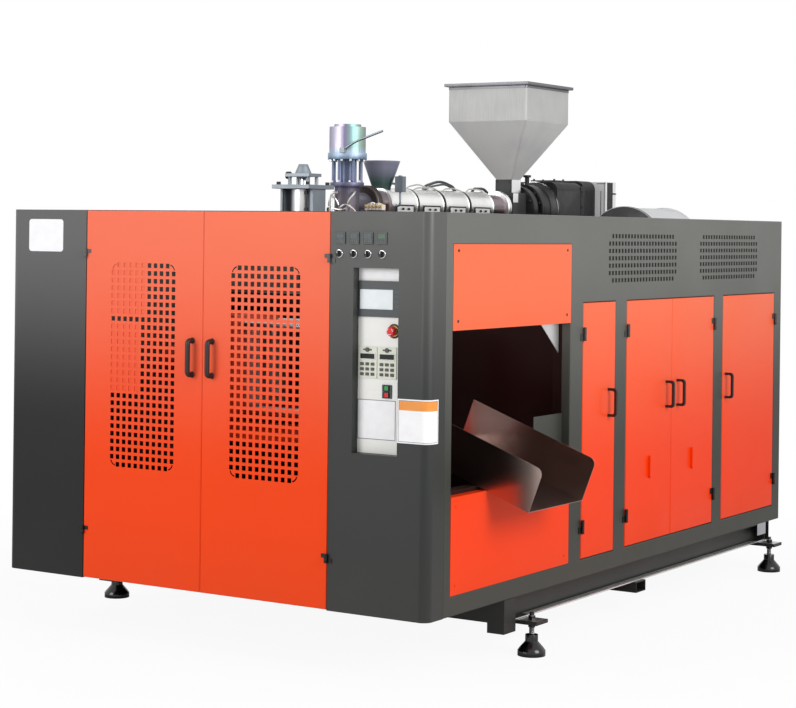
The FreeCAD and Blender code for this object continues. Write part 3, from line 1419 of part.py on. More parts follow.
# ---- blow station ----
def blow_station():
    """The bridge over the moulds with the blow cylinder, its plate and the yoke on four rods."""
    y = BLOW_CENTRE
    half = BLOW_BRIDGE_WIDTH / 2
    bridge = tube_x(-POST_INNER, POST_INNER, y - half, y + half, TOP - BAR, TOP)
    plate_low = BLOW_PLATE_TOP - BLOW_PLATE_THICKNESS
    half = BLOW_PLATE_SIZE / 2
    plate = box(-half, half, y - half, y + half, plate_low, BLOW_PLATE_TOP)
    posts = []
    for side in (-1, 1):
        x = side * (half - BLOW_POST)
        reach = BLOW_POST / 2
        posts.append(box(x - reach, x + reach, y - half / 2, y + half / 2, TOP, plate_low))
    cylinder_body = cylinder(BLOW_CYLINDER_RADIUS, plate_low - TOP, 0, y, TOP, Z)
    yoke_top = BLOW_PLATE_TOP + YOKE_HEIGHT
    width, length, thickness = YOKE_PLATE
    hub_z = yoke_top - YOKE_HUB_HEIGHT
    yoke_z = hub_z - thickness
    yoke = [
        box(-width / 2, width / 2, y - length / 2, y + length / 2, yoke_z, hub_z),
        cone(YOKE_HUB_RADIUS, YOKE_HUB_TOP_RADIUS, YOKE_HUB_HEIGHT, 0, y, hub_z, Z),
    ]
    for side_x in (-1, 1):
        for side_y in (-1, 1):
            rod_x = side_x * (width / 2 - 2 * YOKE_ROD_RADIUS)
            rod_y = y + side_y * (length / 2 - 2 * YOKE_ROD_RADIUS)
            height = yoke_z - BLOW_PLATE_TOP
            yoke.append(cylinder(YOKE_ROD_RADIUS, height, rod_x, rod_y, BLOW_PLATE_TOP, Z))
    body = fuse([bridge, plate, cylinder_body] + posts + yoke)
    bore_low = TOP - 2 * BAR
    bore = cylinder(
        BLOW_PIN_RADIUS + RUNNING_CLEARANCE, yoke_top - bore_low, 0, y, bore_low, Z
    )
    return body.cut(bore)


def blow_pin():
    """The blow pin in its cylinder, drawn up."""
    top = BLOW_PLATE_TOP + YOKE_HEIGHT - FACE_CLEARANCE
    tip = BLOW_PIN_RADIUS
    low = top - BLOW_PIN_LENGTH
    rod = cylinder(BLOW_PIN_RADIUS, BLOW_PIN_LENGTH - tip, 0, BLOW_CENTRE, low + tip, Z)
    point = cone(BLOW_PIN_RADIUS, BLOW_PIN_RADIUS / 2, tip, 0, BLOW_CENTRE, low + tip, -Z)
    return fuse([rod, point])


# ---- mould carriage ----
def guide_end():
    """Where the guide rods end, in front of the bulkhead."""
    return POST_FRONTS[1] + BAR - FACE_CLEARANCE


def carriage_rails():
    """Two guide rods on their end blocks, beams and legs."""
    end = guide_end()
    half = GUIDE_BEAM / 2
    beam_top = GUIDE_HEIGHT - GUIDE_BLOCK / 2
    pieces = []
    for side in (-1, 1):
        x = side * GUIDE_OFFSET
        pieces.append(
            tube_y(x - half, x + half, GUIDE_START, end, beam_top - GUIDE_BEAM, beam_top)
        )
        rod = cylinder(GUIDE_RADIUS, end - GUIDE_START, x, GUIDE_START, GUIDE_HEIGHT, Y)
        blocks = [rod]
        for y in (GUIDE_START, end - GUIDE_BLOCK / 2):
            blocks.append(
                box(
                    x - GUIDE_BLOCK / 2,
                    x + GUIDE_BLOCK / 2,
                    y,
                    y + GUIDE_BLOCK / 2,
                    beam_top,
                    GUIDE_HEIGHT + GUIDE_RADIUS,
                )
            )
        pieces.append(fuse(blocks))
        for y in (GUIDE_START, end - GUIDE_BEAM):
            leg_top = beam_top - GUIDE_BEAM
            pieces.append(tube_z(x - half, x + half, y, y + GUIDE_BEAM, FLOOR_TOP, leg_top))
    return group(pieces)


def tie_bar_places():
    """The four tie bars round the clamp's centre line."""
    places = []
    for y in (-TIE_BAR_HALF_SPACING_Y, TIE_BAR_HALF_SPACING_Y):
        for z in (-TIE_BAR_HALF_SPACING_Z, TIE_BAR_HALF_SPACING_Z):
            places.append((BLOW_CENTRE + y, CLAMP_HEIGHT + z))
    return places


def tie_bar_holes(x0, x1, clearance):
    """Holes for the tie bars through a plate between x0 and x1."""
    radius = TIE_BAR_RADIUS + clearance
    return [cylinder(radius, x1 - x0, x0, y, z, X) for y, z in tie_bar_places()]


def end_plate():
    """The right-hand end plate of the clamp with its cylinder."""
    x1 = CARRIAGE_HALF_WIDTH
    x0 = x1 - CARRIAGE_PLATE
    low = CARRIAGE_TOP
    high = CLAMP_HEIGHT + PLATEN_HEIGHT / 2
    y0 = BLOW_CENTRE - PLATEN_HALF_LENGTH
    y1 = BLOW_CENTRE + PLATEN_HALF_LENGTH
    plate = box(x0, x1, y0, y1, low, high)
    ram = cylinder(CLAMP_CYLINDER_RADIUS, CLAMP_CYLINDER_LENGTH, x1, BLOW_CENTRE, CLAMP_HEIGHT, X)
    bore_length = CARRIAGE_PLATE + CLAMP_CYLINDER_LENGTH - CARRIAGE_PLATE / 4
    radius = PISTON_RADIUS + RUNNING_CLEARANCE
    bore = cylinder(radius, bore_length, x0, BLOW_CENTRE, CLAMP_HEIGHT, X)
    return fuse([plate, ram]).cut(group([bore] + tie_bar_holes(x0, x1, 0)))


def carriage():
    """The carriage: base plate, bushes on the guide rods, and both end plates."""
    y = BLOW_CENTRE
    base = box(
        -CARRIAGE_HALF_WIDTH,
        CARRIAGE_HALF_WIDTH,
        y - CARRIAGE_HALF_LENGTH,
        y + CARRIAGE_HALF_LENGTH,
        CARRIAGE_BOTTOM,
        CARRIAGE_TOP,
    )
    half = CARRIAGE_BUSH / 2
    bushes = []
    bores = []
    for side in (-1, 1):
        x = side * GUIDE_OFFSET
        for offset in (-CARRIAGE_BUSH_INSET, CARRIAGE_BUSH_INSET):
            centre = y + offset
            low = GUIDE_HEIGHT - GUIDE_BLOCK / 2 + FACE_CLEARANCE
            bushes.append(
                box(x - half, x + half, centre - half, centre + half, low, CARRIAGE_BOTTOM)
            )
        start = y - CARRIAGE_BUSH_INSET - half
        length = 2 * (CARRIAGE_BUSH_INSET + half)
        radius = GUIDE_RADIUS + RUNNING_CLEARANCE
        bores.append(cylinder(radius, length, x, start, GUIDE_HEIGHT, Y))
    right = end_plate()
    return fuse([base, right, mirrored_left(right)] + bushes).cut(group(bores))


def tie_bars():
    """The four bars between the end plates."""
    x0 = -CARRIAGE_HALF_WIDTH
    return group(tie_bar_holes(x0, CARRIAGE_HALF_WIDTH, 0))


def platen_right():
    """The right-hand platen with its piston rod, at rest with the mould open."""
    x0 = MOULD_FACE + MOULD_THICKNESS
    x1 = x0 + PLATEN_THICKNESS
    y0 = BLOW_CENTRE - PLATEN_HALF_LENGTH
    y1 = BLOW_CENTRE + PLATEN_HALF_LENGTH
    low = CLAMP_HEIGHT - PLATEN_HEIGHT / 2
    plate = box(x0, x1, y0, y1, low, CLAMP_HEIGHT + PLATEN_HEIGHT / 2)
    rod_end = CARRIAGE_HALF_WIDTH + CLAMP_CYLINDER_LENGTH - CARRIAGE_PLATE / 2
    rod = cylinder(PISTON_RADIUS, rod_end - x1, x1, BLOW_CENTRE, CLAMP_HEIGHT, X)
    holes = tie_bar_holes(x0, x1, RUNNING_CLEARANCE)
    return fuse([plate, rod]).cut(group(holes))


def mould_right():
    """The right-hand mould half with half of the bottle's cavity."""
    x0 = MOULD_FACE
    low = CLAMP_HEIGHT - MOULD_HEIGHT / 2
    block = box(
        x0,
        x0 + MOULD_THICKNESS,
        BLOW_CENTRE - MOULD_HALF_LENGTH,
        BLOW_CENTRE + MOULD_HALF_LENGTH,
        low,
        low + MOULD_HEIGHT,
    )
    floor = low + CAVITY_FLOOR
    shoulder = floor + CAVITY_HEIGHT
    neck = shoulder + SHOULDER_HEIGHT
    cavity = fuse([
        cylinder(CAVITY_RADIUS, CAVITY_HEIGHT, x0, BLOW_CENTRE, floor, Z),
        cone(CAVITY_RADIUS, NECK_RADIUS, SHOULDER_HEIGHT, x0, BLOW_CENTRE, shoulder, Z),
        cylinder(NECK_RADIUS, low + MOULD_HEIGHT - neck, x0, BLOW_CENTRE, neck, Z),
    ])
    return block.cut(cavity)


# ---- cabinets ----
def hydraulic_unit():
    """The oil tank behind the pair of doors, with the pump motor and the pump on it."""
    width, length, height = HYDRAULIC_TANK
    x1 = POST_INNER - HYDRAULIC_INSET
    x0 = x1 - width
    y0 = PAIR_SEAM - length / 2
    top = FLOOR_TOP + height
    wall = HYDRAULIC_WALL
    tank = box(x0, x1, y0, y0 + length, FLOOR_TOP, top)
    space = box(
        x0 + wall, x1 - wall, y0 + wall, y0 + length - wall, FLOOR_TOP + wall, top - wall
    )
    filler_x = x1 - 2 * FILLER_RADIUS
    filler_y = y0 + 2 * FILLER_RADIUS
    filler = cylinder(FILLER_RADIUS, 2 * wall, filler_x, filler_y, top - 1.5 * wall, Z)
    tank = tank.cut(fuse([space, filler]))
    centre_x = (x0 + x1) / 2
    motor_y = y0 + length / 3
    pump = box(
        centre_x - PUMP_SIZE / 2,
        centre_x + PUMP_SIZE / 2,
        motor_y + HYDRAULIC_MOTOR_RADIUS + SEAL_GAP,
        motor_y + HYDRAULIC_MOTOR_RADIUS + SEAL_GAP + PUMP_SIZE,
        top,
        top + PUMP_SIZE,
    )
    motor = cylinder(
        HYDRAULIC_MOTOR_RADIUS, HYDRAULIC_MOTOR_HEIGHT, centre_x, motor_y, top, Z
    )
    return group([tank, motor, pump])


def electrical_panel():
    """The mounting plate behind the end door with its row of breakers."""
    x1 = POST_INNER - MOUNTING_PLATE_INSET
    y0 = END_FRONT + MOUNTING_PLATE_MARGIN
    y1 = END_REAR - MOUNTING_PLATE_MARGIN
    plate = box(x1 - SHEET, x1, y0, y1, FLOOR_TOP, FLOOR_TOP + MOUNTING_PLATE_HEIGHT)
    depth, width, height = BREAKER_SIZE
    pieces = [plate]
    pitch = (y1 - y0) / BREAKER_COUNT
    for index in range(BREAKER_COUNT):
        start = y0 + (index + 0.5) * pitch - width / 2
        for row in (1, 2):
            low = FLOOR_TOP + row * MOUNTING_PLATE_HEIGHT / 3
            pieces.append(box(x1, x1 + depth, start, start + width, low, low + height))
    return fuse(pieces)


# ---- assembly ----
def front_pieces():
    """Columns, front doors and their handles."""
    return {
        "front_left_column": front_left_column(),
        "control_column": control_column(),
        "front_door_left": front_door(1),
        "front_door_right": front_door(-1),
        "front_handle_left": bow_handle(
            FRONT_SEAM - FRONT_HANDLE_INSET, FRONT_HANDLE_HEIGHT, FRONT_HANDLE_LENGTH
        ),
        "front_handle_right": bow_handle(
            FRONT_SEAM + FRONT_HANDLE_INSET, FRONT_HANDLE_HEIGHT, FRONT_HANDLE_LENGTH
        ),
        "door_hinges": door_hinges(),
    }


def side_pieces():
    """The right side with its doors, the plain left side and the rear."""
    lock_front, lock_rear = lock_positions()
    pieces = {
        "right_side_frame": right_side_frame(),
        "left_side_panel": left_side_panel(),
        "rear_panel": rear_panel(),
        "outlet_covers": outlet_covers(),
        "outlet_chute": outlet_chute(),
        "narrow_door": side_door(NARROW_FRONT, NARROW_REAR, 1, None),
        "side_door_front": side_door(PAIR_FRONT, PAIR_SEAM, 1, lock_front),
        "side_door_rear": side_door(PAIR_SEAM, PAIR_REAR, -1, lock_rear),
        "end_door": side_door(END_FRONT, END_REAR, -1, None),
        "side_lock_front": turning_lock(lock_front),
        "side_lock_rear": turning_lock(lock_rear),
    }
    handles = {
        "narrow_door_handle": NARROW_REAR - NARROW_HANDLE_INSET,
        "side_handle_front": PAIR_SEAM - SIDE_HANDLE_INSET,
        "side_handle_rear": PAIR_SEAM + SIDE_HANDLE_INSET,
        "end_door_handle": END_FRONT + END_HANDLE_INSET,
    }
    for name, x in handles.items():
        handle = bow_handle(x, SIDE_HANDLE_HEIGHT, SIDE_HANDLE_LENGTH)
        pieces[name] = to_right_side(handle)
    return pieces


def control_pieces():
    """Everything in the control column."""
    pieces = {
        "control_panel": control_panel(),
        "touch_screen": touch_screen(),
        "operator_keypads": operator_keypads(),
        "temperature_controllers": temperature_controllers(),
        "push_button_block": push_button_block(),
        "start_button": push_button(True),
        "stop_button": push_button(False),
        "emergency_stop": emergency_stop(),
    }
    for number, centre in enumerate(knob_centres(), start=1):
        pieces[f"selector_knob_{number}"] = selector_knob(centre)
    return pieces


def extruder_pieces():
    """Deck, extruder, drive and tank."""
    return {
        "extruder_deck": extruder_deck(),
        "barrel": barrel(),
        "heater_bands": heater_bands(),
        "feed_throat": feed_throat(),
        "feed_hopper": feed_hopper(),
        "hopper_lid": hopper_lid(),
        "extruder_screw": extruder_screw(),
        "gearbox": gearbox(),
        "drive_motor": drive_motor(),
        "air_tank": air_tank(),
        "die_head": die_head(),
        "colour_hopper": colour_hopper(),
    }


def moulding_pieces():
    """Blow station, carriage and moulds, and the units in the cabinets."""
    return {
        "blow_station": blow_station(),
        "blow_pin": blow_pin(),
        "carriage_rails": carriage_rails(),
        "carriage": carriage(),
        "tie_bars": tie_bars(),
        "platen_right": platen_right(),
        "platen_left": mirrored_left(platen_right()),
        "mould_right": mould_right(),
        "mould_left": mirrored_left(mould_right()),
        "hydraulic_unit": hydraulic_unit(),
        "electrical_panel": electrical_panel(),
    }


def origin_shift(pieces):
    """The move that brings the origin under the middle of the whole box."""
    bounds = group(list(pieces.values())).optimalBoundingBox(False, False)
    middle_x = (bounds.XMin + bounds.XMax) / 2
    middle_y = (bounds.YMin + bounds.YMax) / 2
    return FreeCAD.Vector(-middle_x, -middle_y, 0)


def build():
    """Every piece by name, in its final place, and the move that placed it."""
    pieces = {
        "base_frame": base_frame(),
        "levelling_feet": levelling_feet(),
        "machine_frame": machine_frame(),
    }
    pieces.update(front_pieces())
    pieces.update(side_pieces())
    pieces.update(control_pieces())
    pieces.update(extruder_pieces())
    pieces.update(moulding_pieces())
    shift = origin_shift(pieces)
    for shape in pieces.values():
        shape.translate(shift)
    return pieces, shift


PIECES, SHIFT = build()
os.makedirs("parts", exist_ok=True)
for piece_name, piece_shape in PIECES.items():
    piece_shape.exportStep(f"parts/{piece_name}.step")
print(len(PIECES), "sub-parts written, origin moved by", SHIFT)
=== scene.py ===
# %% [markdown]
# # An extrusion blow moulding machine, dressed for its portrait
# The machine melts plastic in the long barrel on its roof, hangs a hot tube from the die head and
# blows it into bottles between two mould halves behind the orange doors. The construction came
# out of a CAD model. This notebook gives it its thin sheets, fittings and finishes.

# %% Load the frame
import math
from itertools import product

import bmesh
import bpy
from mathutils import Matrix, Vector, geometry


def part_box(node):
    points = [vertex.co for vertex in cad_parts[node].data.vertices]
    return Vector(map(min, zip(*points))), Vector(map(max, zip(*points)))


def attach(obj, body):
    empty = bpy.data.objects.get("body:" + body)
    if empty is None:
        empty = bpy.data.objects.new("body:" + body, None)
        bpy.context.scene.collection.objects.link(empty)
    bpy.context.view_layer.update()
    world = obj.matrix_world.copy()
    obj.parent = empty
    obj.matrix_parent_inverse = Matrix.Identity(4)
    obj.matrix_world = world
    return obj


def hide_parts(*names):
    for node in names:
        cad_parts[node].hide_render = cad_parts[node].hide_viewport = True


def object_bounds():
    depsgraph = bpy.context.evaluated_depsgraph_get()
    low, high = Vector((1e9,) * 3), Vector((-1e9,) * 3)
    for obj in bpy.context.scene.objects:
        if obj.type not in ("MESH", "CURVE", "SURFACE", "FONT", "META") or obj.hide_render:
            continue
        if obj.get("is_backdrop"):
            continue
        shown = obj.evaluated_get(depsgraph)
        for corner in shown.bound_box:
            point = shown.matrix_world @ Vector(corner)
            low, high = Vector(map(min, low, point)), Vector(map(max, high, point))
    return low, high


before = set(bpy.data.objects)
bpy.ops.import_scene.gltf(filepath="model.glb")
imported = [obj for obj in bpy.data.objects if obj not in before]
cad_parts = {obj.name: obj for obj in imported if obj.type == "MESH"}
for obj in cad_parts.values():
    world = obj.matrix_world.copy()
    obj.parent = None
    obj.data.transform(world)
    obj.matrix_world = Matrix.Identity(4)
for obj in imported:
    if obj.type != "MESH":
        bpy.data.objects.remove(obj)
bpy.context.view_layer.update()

print("parts in the frame:", len(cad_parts))

# %% [markdown]
# ## One datum for everything
# A sheet metal worker measures from one corner. Here x = 0 is mid width, y = 0 is the plane of
# the front doors and z = 0 is the floor, all in millimetres. The left column of the CAD model
# touches the first two planes, so it tells where the datum lies in the frame, which is in metres.

# %% Datum
MM = 0.001
LEFT, RIGHT, REAR, BOTTOM, TOP = -1100.0, 1100.0, 3600.0, 250.0, 1850.0
column_low, column_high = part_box("front_left_column")
ORIGIN = Vector((column_low.x - LEFT * MM, column_low.y, 0.0))
DRAWING_TO_FRAME = Matrix.Translation(ORIGIN) @ Matrix.Scale(MM, 4)
print("datum in the frame:", [round(v, 4) for v in ORIGIN])
print("case top:", round(column_high.z / MM), "mm")

# %% [markdown]
# ## Camera
# The photographer stood off the right front corner with a long lens, at the height of the roof,
# and turned the lens 33 degrees to the left of straight ahead. A long lens keeps the doors nearly
# square. The picture is cropped, so the frame is shifted downwards instead of tilting the camera,
# which keeps the machine's upright edges upright.

# %% Camera
CAMERA_PLACE = (5183.0, -6618.0, 1772.0)
CAMERA_TURN = math.radians(32.62)
CAMERA_ROLL = math.radians(0.68)
camera_data = bpy.data.cameras.new("camera")
camera_data.lens = 90.67
camera_data.sensor_width = 36.0
camera_data.shift_y = -0.154
camera = bpy.data.objects.new("camera", camera_data)
bpy.context.scene.collection.objects.link(camera)
bpy.context.scene.camera = camera
level = Vector((math.cos(CAMERA_TURN), math.sin(CAMERA_TURN), 0.0))
upright = Vector((0.0, 0.0, 1.0))
right_axis = level * math.cos(CAMERA_ROLL) + upright * math.sin(CAMERA_ROLL)
up_axis = upright * math.cos(CAMERA_ROLL) - level * math.sin(CAMERA_ROLL)
back_axis = right_axis.cross(up_axis)
turn = Matrix((right_axis, up_axis, back_axis)).transposed().to_4x4()
camera.matrix_world = Matrix.Translation(DRAWING_TO_FRAME @ Vector(CAMERA_PLACE)) @ turn
print("camera stands at", [round(v, 2) for v in camera.location])

# %% [markdown]
# ## Colours and nodes
# Paint makers and screens give colours in sRGB, and shaders calculate in linear light, so one
# function converts. A shader is a small circuit of nodes, and one function adds a node with its
# settings and the wires into it. The recipes below repeat a few moves, so those have short names:
# a noise, a range, a blend of two colours, a bump and the shader that ends the circuit.

# %% Colour and node helpers
def linear(colour):
    """An sRGB hex colour as the linear colour that a shader takes."""
    parts = [int(colour[start:start + 2], 16) / 255 for start in (1, 3, 5)]
    steps = [v / 12.92 if v <= 0.04045 else ((v + 0.055) / 1.055) ** 2.4 for v in parts]
    return (*steps, 1.0)


def add_node(tree, kind, settings=None, links=None):
    """Add a node to a tree with its settings, and wire outputs into its inputs."""
    node = tree.nodes.new(kind)
    for name, value in (settings or {}).items():
        if isinstance(name, str) and hasattr(node, name):
            setattr(node, name, value)
        else:
            node.inputs[name].default_value = value
    for name, output in (links or {}).items():
        tree.links.new(output, node.inputs[name])
    return node


def begin_material(name):
    """An empty material, and the coordinates in metres that its patterns are drawn in."""
    material = bpy.data.materials.new(name)
    material.use_nodes = True
    tree = material.node_tree
    tree.nodes.clear()
    place = add_node(tree, "ShaderNodeTexCoord").outputs["Object"]
    return material, tree, place


def finish_material(tree, shader):
    """Wire a shader to the material's output."""
    add_node(tree, "ShaderNodeOutputMaterial", links={"Surface": shader.outputs[0]})


def noise(tree, place, scale, detail):
    """The value of a noise pattern with about that many features to the metre."""
    settings = {"Scale": scale, "Detail": detail}
    return add_node(tree, "ShaderNodeTexNoise", settings, {"Vector": place}).outputs[0]


def arithmetic(tree, operation, *values):
    """One step of arithmetic on other outputs and plain numbers."""
    settings, links = {"operation": operation}, {}
    for socket, value in enumerate(values):
        (settings if isinstance(value, float) else links)[socket] = value
    return add_node(tree, "ShaderNodeMath", settings, links).outputs[0]


def ranged(tree, value, start, end, low=0.0, high=1.0, **more):
    """A value that runs from low to high while its source runs from start to end."""
    settings = {"From Min": start, "From Max": end, "To Min": low, "To Max": high, **more}
    return add_node(tree, "ShaderNodeMapRange", settings, {"Value": value}).outputs[0]


def blended(tree, factor, first, second):
    """A colour between two, each a hex colour or a node's output."""
    settings, links = {"data_type": "RGBA"}, {0: factor}
    for socket, colour in ((6, first), (7, second)):
        if isinstance(colour, str):
            settings[socket] = linear(colour)
        else:
            links[socket] = colour
    return add_node(tree, "ShaderNodeMix", settings, links).outputs[2]


def bumped(tree, height, strength, distance):
    """Small hills for the light that leave the surface where it is."""
    settings = {"Strength": strength, "Distance": distance}
    return add_node(tree, "ShaderNodeBump", settings, {"Height": height}).outputs[0]


def surfaced(material, tree, settings, colour, rough, normal):
    """The shader and the output that end a material."""
    links = {"Base Color": colour, "Roughness": rough, "Normal": normal}
    finish_material(tree, add_node(tree, "ShaderNodeBsdfPrincipled", settings, links))
    return material


print("orange in linear light:", [round(v, 3) for v in linear("#F0481C")])

# %% [markdown]
# ## Powder coat
# The sheets are mild steel, sprayed with polyester powder and baked. Powder flows into a skin with
# a fine orange peel and a soft gloss, like any dielectric with an IOR near 1.5. Real peel waves
# are 2 to 3 mm long, too fine for a machine seen from eight metres, so they are drawn at 9 mm.
# Handling leaves broad dull patches, and dust from the floor settles on the lowest part. On the
# sheet coats the colour also turns paler towards the top and darker towards the bottom: painted
# light, a painted sheen on the upper part and painted shade low down.

# %% Powder coat
PEEL_LENGTH = 0.009
PATCH_LENGTH = 0.45
DUST_TOP, DUST_FULL, DUST_SHARE = 0.55, 0.2, 0.35


def powder_coat(
    name, upper, lower, dust, gloss=0.34, blend_from=0.7, blend_to=1.8, density=1.5,
    sheen_colour="#FFFFFF",
):
    """Baked polyester powder whose colour runs from the lower to the upper hex colour with height.
    """
    material, tree, place = begin_material(name)
    height = add_node(tree, "ShaderNodeSeparateXYZ", links={"Vector": place}).outputs["Z"]
    # On the sheet coats this run with height is painted light: a paler, painted sheen higher up.
    height_tint_and_painted_light = ranged(tree, height, blend_from, blend_to, interpolation_type="SMOOTHSTEP")
    patches = noise(tree, place, 1 / PATCH_LENGTH, 4.0)
    fallen = ranged(tree, height, DUST_TOP, DUST_FULL, 0.0, DUST_SHARE)
    settled = arithmetic(tree, "MULTIPLY", fallen, patches)
    return surfaced(
        material, tree, {"IOR": density, "Specular Tint": linear(sheen_colour)},
        blended(tree, settled, blended(tree, height_tint_and_painted_light, lower, upper), dust),
        ranged(tree, patches, 0.35, 0.7, gloss - 0.05, gloss + 0.1),
        bumped(tree, noise(tree, place, 1 / PEEL_LENGTH, 2.0), 0.04, 0.001),
    )


# Orange pigment lies right under the skin and tints its reflection, as on a bronzed ink.
orange_coat = powder_coat(
    "orange_powder_coat", "#EE7157", "#ED4010", "#B0482A", sheen_colour="#FFB080"
)
# The side's copy of the orange coat has its own tints and a weaker reflection, set for the light on
# the side: painted light.
orange_side_coat_painted_light = powder_coat(
    "orange_powder_coat_side_painted_light", "#EE6C48", "#EC3800", "#A8401C", 0.34, 0.6, 1.6,
    density=1.36, sheen_colour="#FF9A50",
)
graphite_coat = powder_coat(
    "graphite_powder_coat", "#5D5E5D", "#141615", "#2E2D29", 0.42, 0.9, density=1.35
)
inner_coat = powder_coat(
    "dark_red_oxide_primer", "#32110D", "#1C0907", "#241512", 0.5, density=1.35
)
# The control column and the side sheets take copies of the graphite coat with their own tints, set
# for the light that falls on them: painted light.
column_coat_painted_light = powder_coat(
    "graphite_coat_column_painted_light", "#50514F", "#262927", "#45443E", 0.4, 1.0, density=1.42
)
side_coat_painted_light = powder_coat("graphite_coat_side_painted_light", "#62635F", "#2B2D27", "#56544B", 0.42, density=1.42)
base_coat = powder_coat("black_powder_coat", "#232423", "#121313", "#44433F", 0.4, density=1.4)
enamel_white = powder_coat("white_enamel_plate", "#EFEFEC", "#E9E9E4", "#CFCCC4", 0.3)
tinted_coat = powder_coat("smoke_tinted_funnel", "#85879A", "#3C5751", "#3C5751", 0.3, 1.99, 2.08)
print("powder coats made: 9")

# %% [markdown]
# ## Cast iron in machine enamel
# The gearbox, motor and tank are castings and rolled drums with near black enamel brushed or
# sprayed over a sand cast skin. The sand leaves grains of 1 to 3 mm, drawn at 6 mm, and oil makes
# some areas shinier than others.

# %% Machine enamel
CAST_GRAIN = 0.006


def machine_enamel(name, colour, worn, grain_depth=0.35):
    """Enamel on a casting: sandy skin, oily and dry areas, and paler rubbed places."""
    material, tree, place = begin_material(name)
    oil = noise(tree, place, 9.0, 5.0)
    return surfaced(
        material, tree, {"IOR": 1.5},
        blended(tree, ranged(tree, oil, 0.55, 0.8), colour, worn),
        ranged(tree, oil, 0.3, 0.7, 0.32, 0.62),
        bumped(tree, noise(tree, place, 1 / CAST_GRAIN, 6.0), grain_depth, 0.001),
    )


drive_enamel = machine_enamel("black_machine_enamel", "#161617", "#2F2E2D")
tank_enamel = machine_enamel("white_machine_enamel", "#D6D7D9", "#E4E4E2", 0.1)
lagging = machine_enamel("brown_heat_lagging", "#2C2220", "#43352F", 0.5)
throat_iron = machine_enamel("grey_machine_enamel", "#2E2E30", "#454545")
print("machine enamels made: 4")

# %% [markdown]
# ## Metals
# Sheet stainless leaves the mill with a rolling grain, and machined steel shows the tool's lines.
# Both are metals, so their colour is the colour of the reflection, and the grain is a noise
# squeezed along one direction. Mill grain is 0.1 mm across, drawn at 2.5 mm by 120 mm.

# %% Metals
GRAIN_WIDTH = 0.0025
GRAIN_LENGTH = 0.12


def grained_metal(name, colour, stain, rough, along="Z", depth=0.08):
    """Rolled or machined metal with its grain along one axis and faint stains."""
    material, tree, place = begin_material(name)
    squeeze = [1 / GRAIN_WIDTH] * 3
    squeeze["XYZ".index(along)] = 1 / GRAIN_LENGTH
    stretched = add_node(tree, "ShaderNodeMapping", {"Scale": squeeze}, {"Vector": place})
    grain = noise(tree, stretched.outputs[0], 1.0, 3.0)
    stained = ranged(tree, noise(tree, place, 6.0, 4.0), 0.45, 0.8)
    return surfaced(
        material, tree, {"Metallic": 1.0}, blended(tree, stained, colour, stain),
        ranged(tree, grain, 0.3, 0.7, rough * 0.9, rough * 1.12),
        bumped(tree, grain, depth, 0.0005),
    )


hopper_stainless = grained_metal("satin_stainless_sheet", "#C6C6C5", "#BEBEBD", 0.75, "Z", 0.02)
# The taper's copy of the stainless is lighter than the straight part's: painted light on its
# downward faces.
cone_stainless_painted_lighter = grained_metal("stainless_sheet_painted_lighter", "#DCDCDB", "#D2D2D3", 0.75, "Z", 0.02)
hopper_edge = grained_metal("dull_stainless_angle", "#86868A", "#757577", 0.5)
# The chute's stainless has a warm pink-brown tint, a painted reflection of the orange covers.
chute_stainless_painted_reflection = grained_metal("brushed_stainless_painted_reflection", "#B09C94", "#9B8A82", 0.2, "X", 0.015)
cover_stainless = grained_metal("heater_cover_stainless", "#F4F4F3", "#E2E1DE", 0.35, "Y")
machined_steel = grained_metal("machined_steel", "#BDBEC0", "#9C9B99", 0.28)
zinc_steel = grained_metal("zinc_plated_steel", "#C6CACF", "#A9A79F", 0.33, "X")
ground_steel = grained_metal("ground_steel", "#8F979E", "#7B8086", 0.5, "X")
nitrided_steel = grained_metal("nitrided_steel", "#8F8287", "#7A6C6A", 0.4, "Y")
chrome = grained_metal("hard_chrome", "#DADCDE", "#CDD0D3", 0.07, "Z", 0.01)
bright_tube = grained_metal("honed_chrome_tube", "#EDEFF0", "#DDE0E2", 0.3, "Z", 0.02)
mould_alloy = grained_metal("milled_aluminium", "#CBCCCE", "#B6B7B9", 0.32, "Y")
brass = grained_metal("turned_brass", "#D9B25F", "#B98F45", 0.25)
print("metals made: 13")

# %% [markdown]
# ## Chrome of the die head, with painted reflections
# The accumulator cylinder over the die is hard chromed. Its soft vertical bands of lavender and
# mint, with one pale band, are painted reflections and a painted highlight. The angle round the
# cylinder's own axis drives a colour ramp, and the height chooses between the cylinder, its flange
# and the rods.

# %% Die head steel
DIE_AXIS_Y = 1040.0
PAINTED_REFLECTION_COLOURS = (
    (0.0, "#8E8CA2"), (0.16, "#A6A5B8"), (0.34, "#D2CADA"), (0.45, "#7C7590"), (0.6, "#8FB4B0"),
    (0.8, "#93A89A"), (1.0, "#8E8CA2"),
)
ROD_COLOURS = (
    (0.1, "#8C8791"), (0.36, "#6A6B84"), (0.72, "#74829A"), (0.82, "#8FA3B8"), (0.95, "#A6B6C8"),
)
PAINTED_REFLECTION_TURN = 1.817


def colour_ramp(tree, value, stops):
    """A run of hex colours, each at its own place between 0 and 1."""
    ramp = add_node(tree, "ShaderNodeValToRGB", links={"Fac": value})
    for element, (spot, colour) in zip(ramp.color_ramp.elements, (stops[0], stops[-1])):
        element.position, element.color = spot, linear(colour)
    for spot, colour in stops[1:-1]:
        ramp.color_ramp.elements.new(spot).color = linear(colour)
    return ramp.outputs[0]


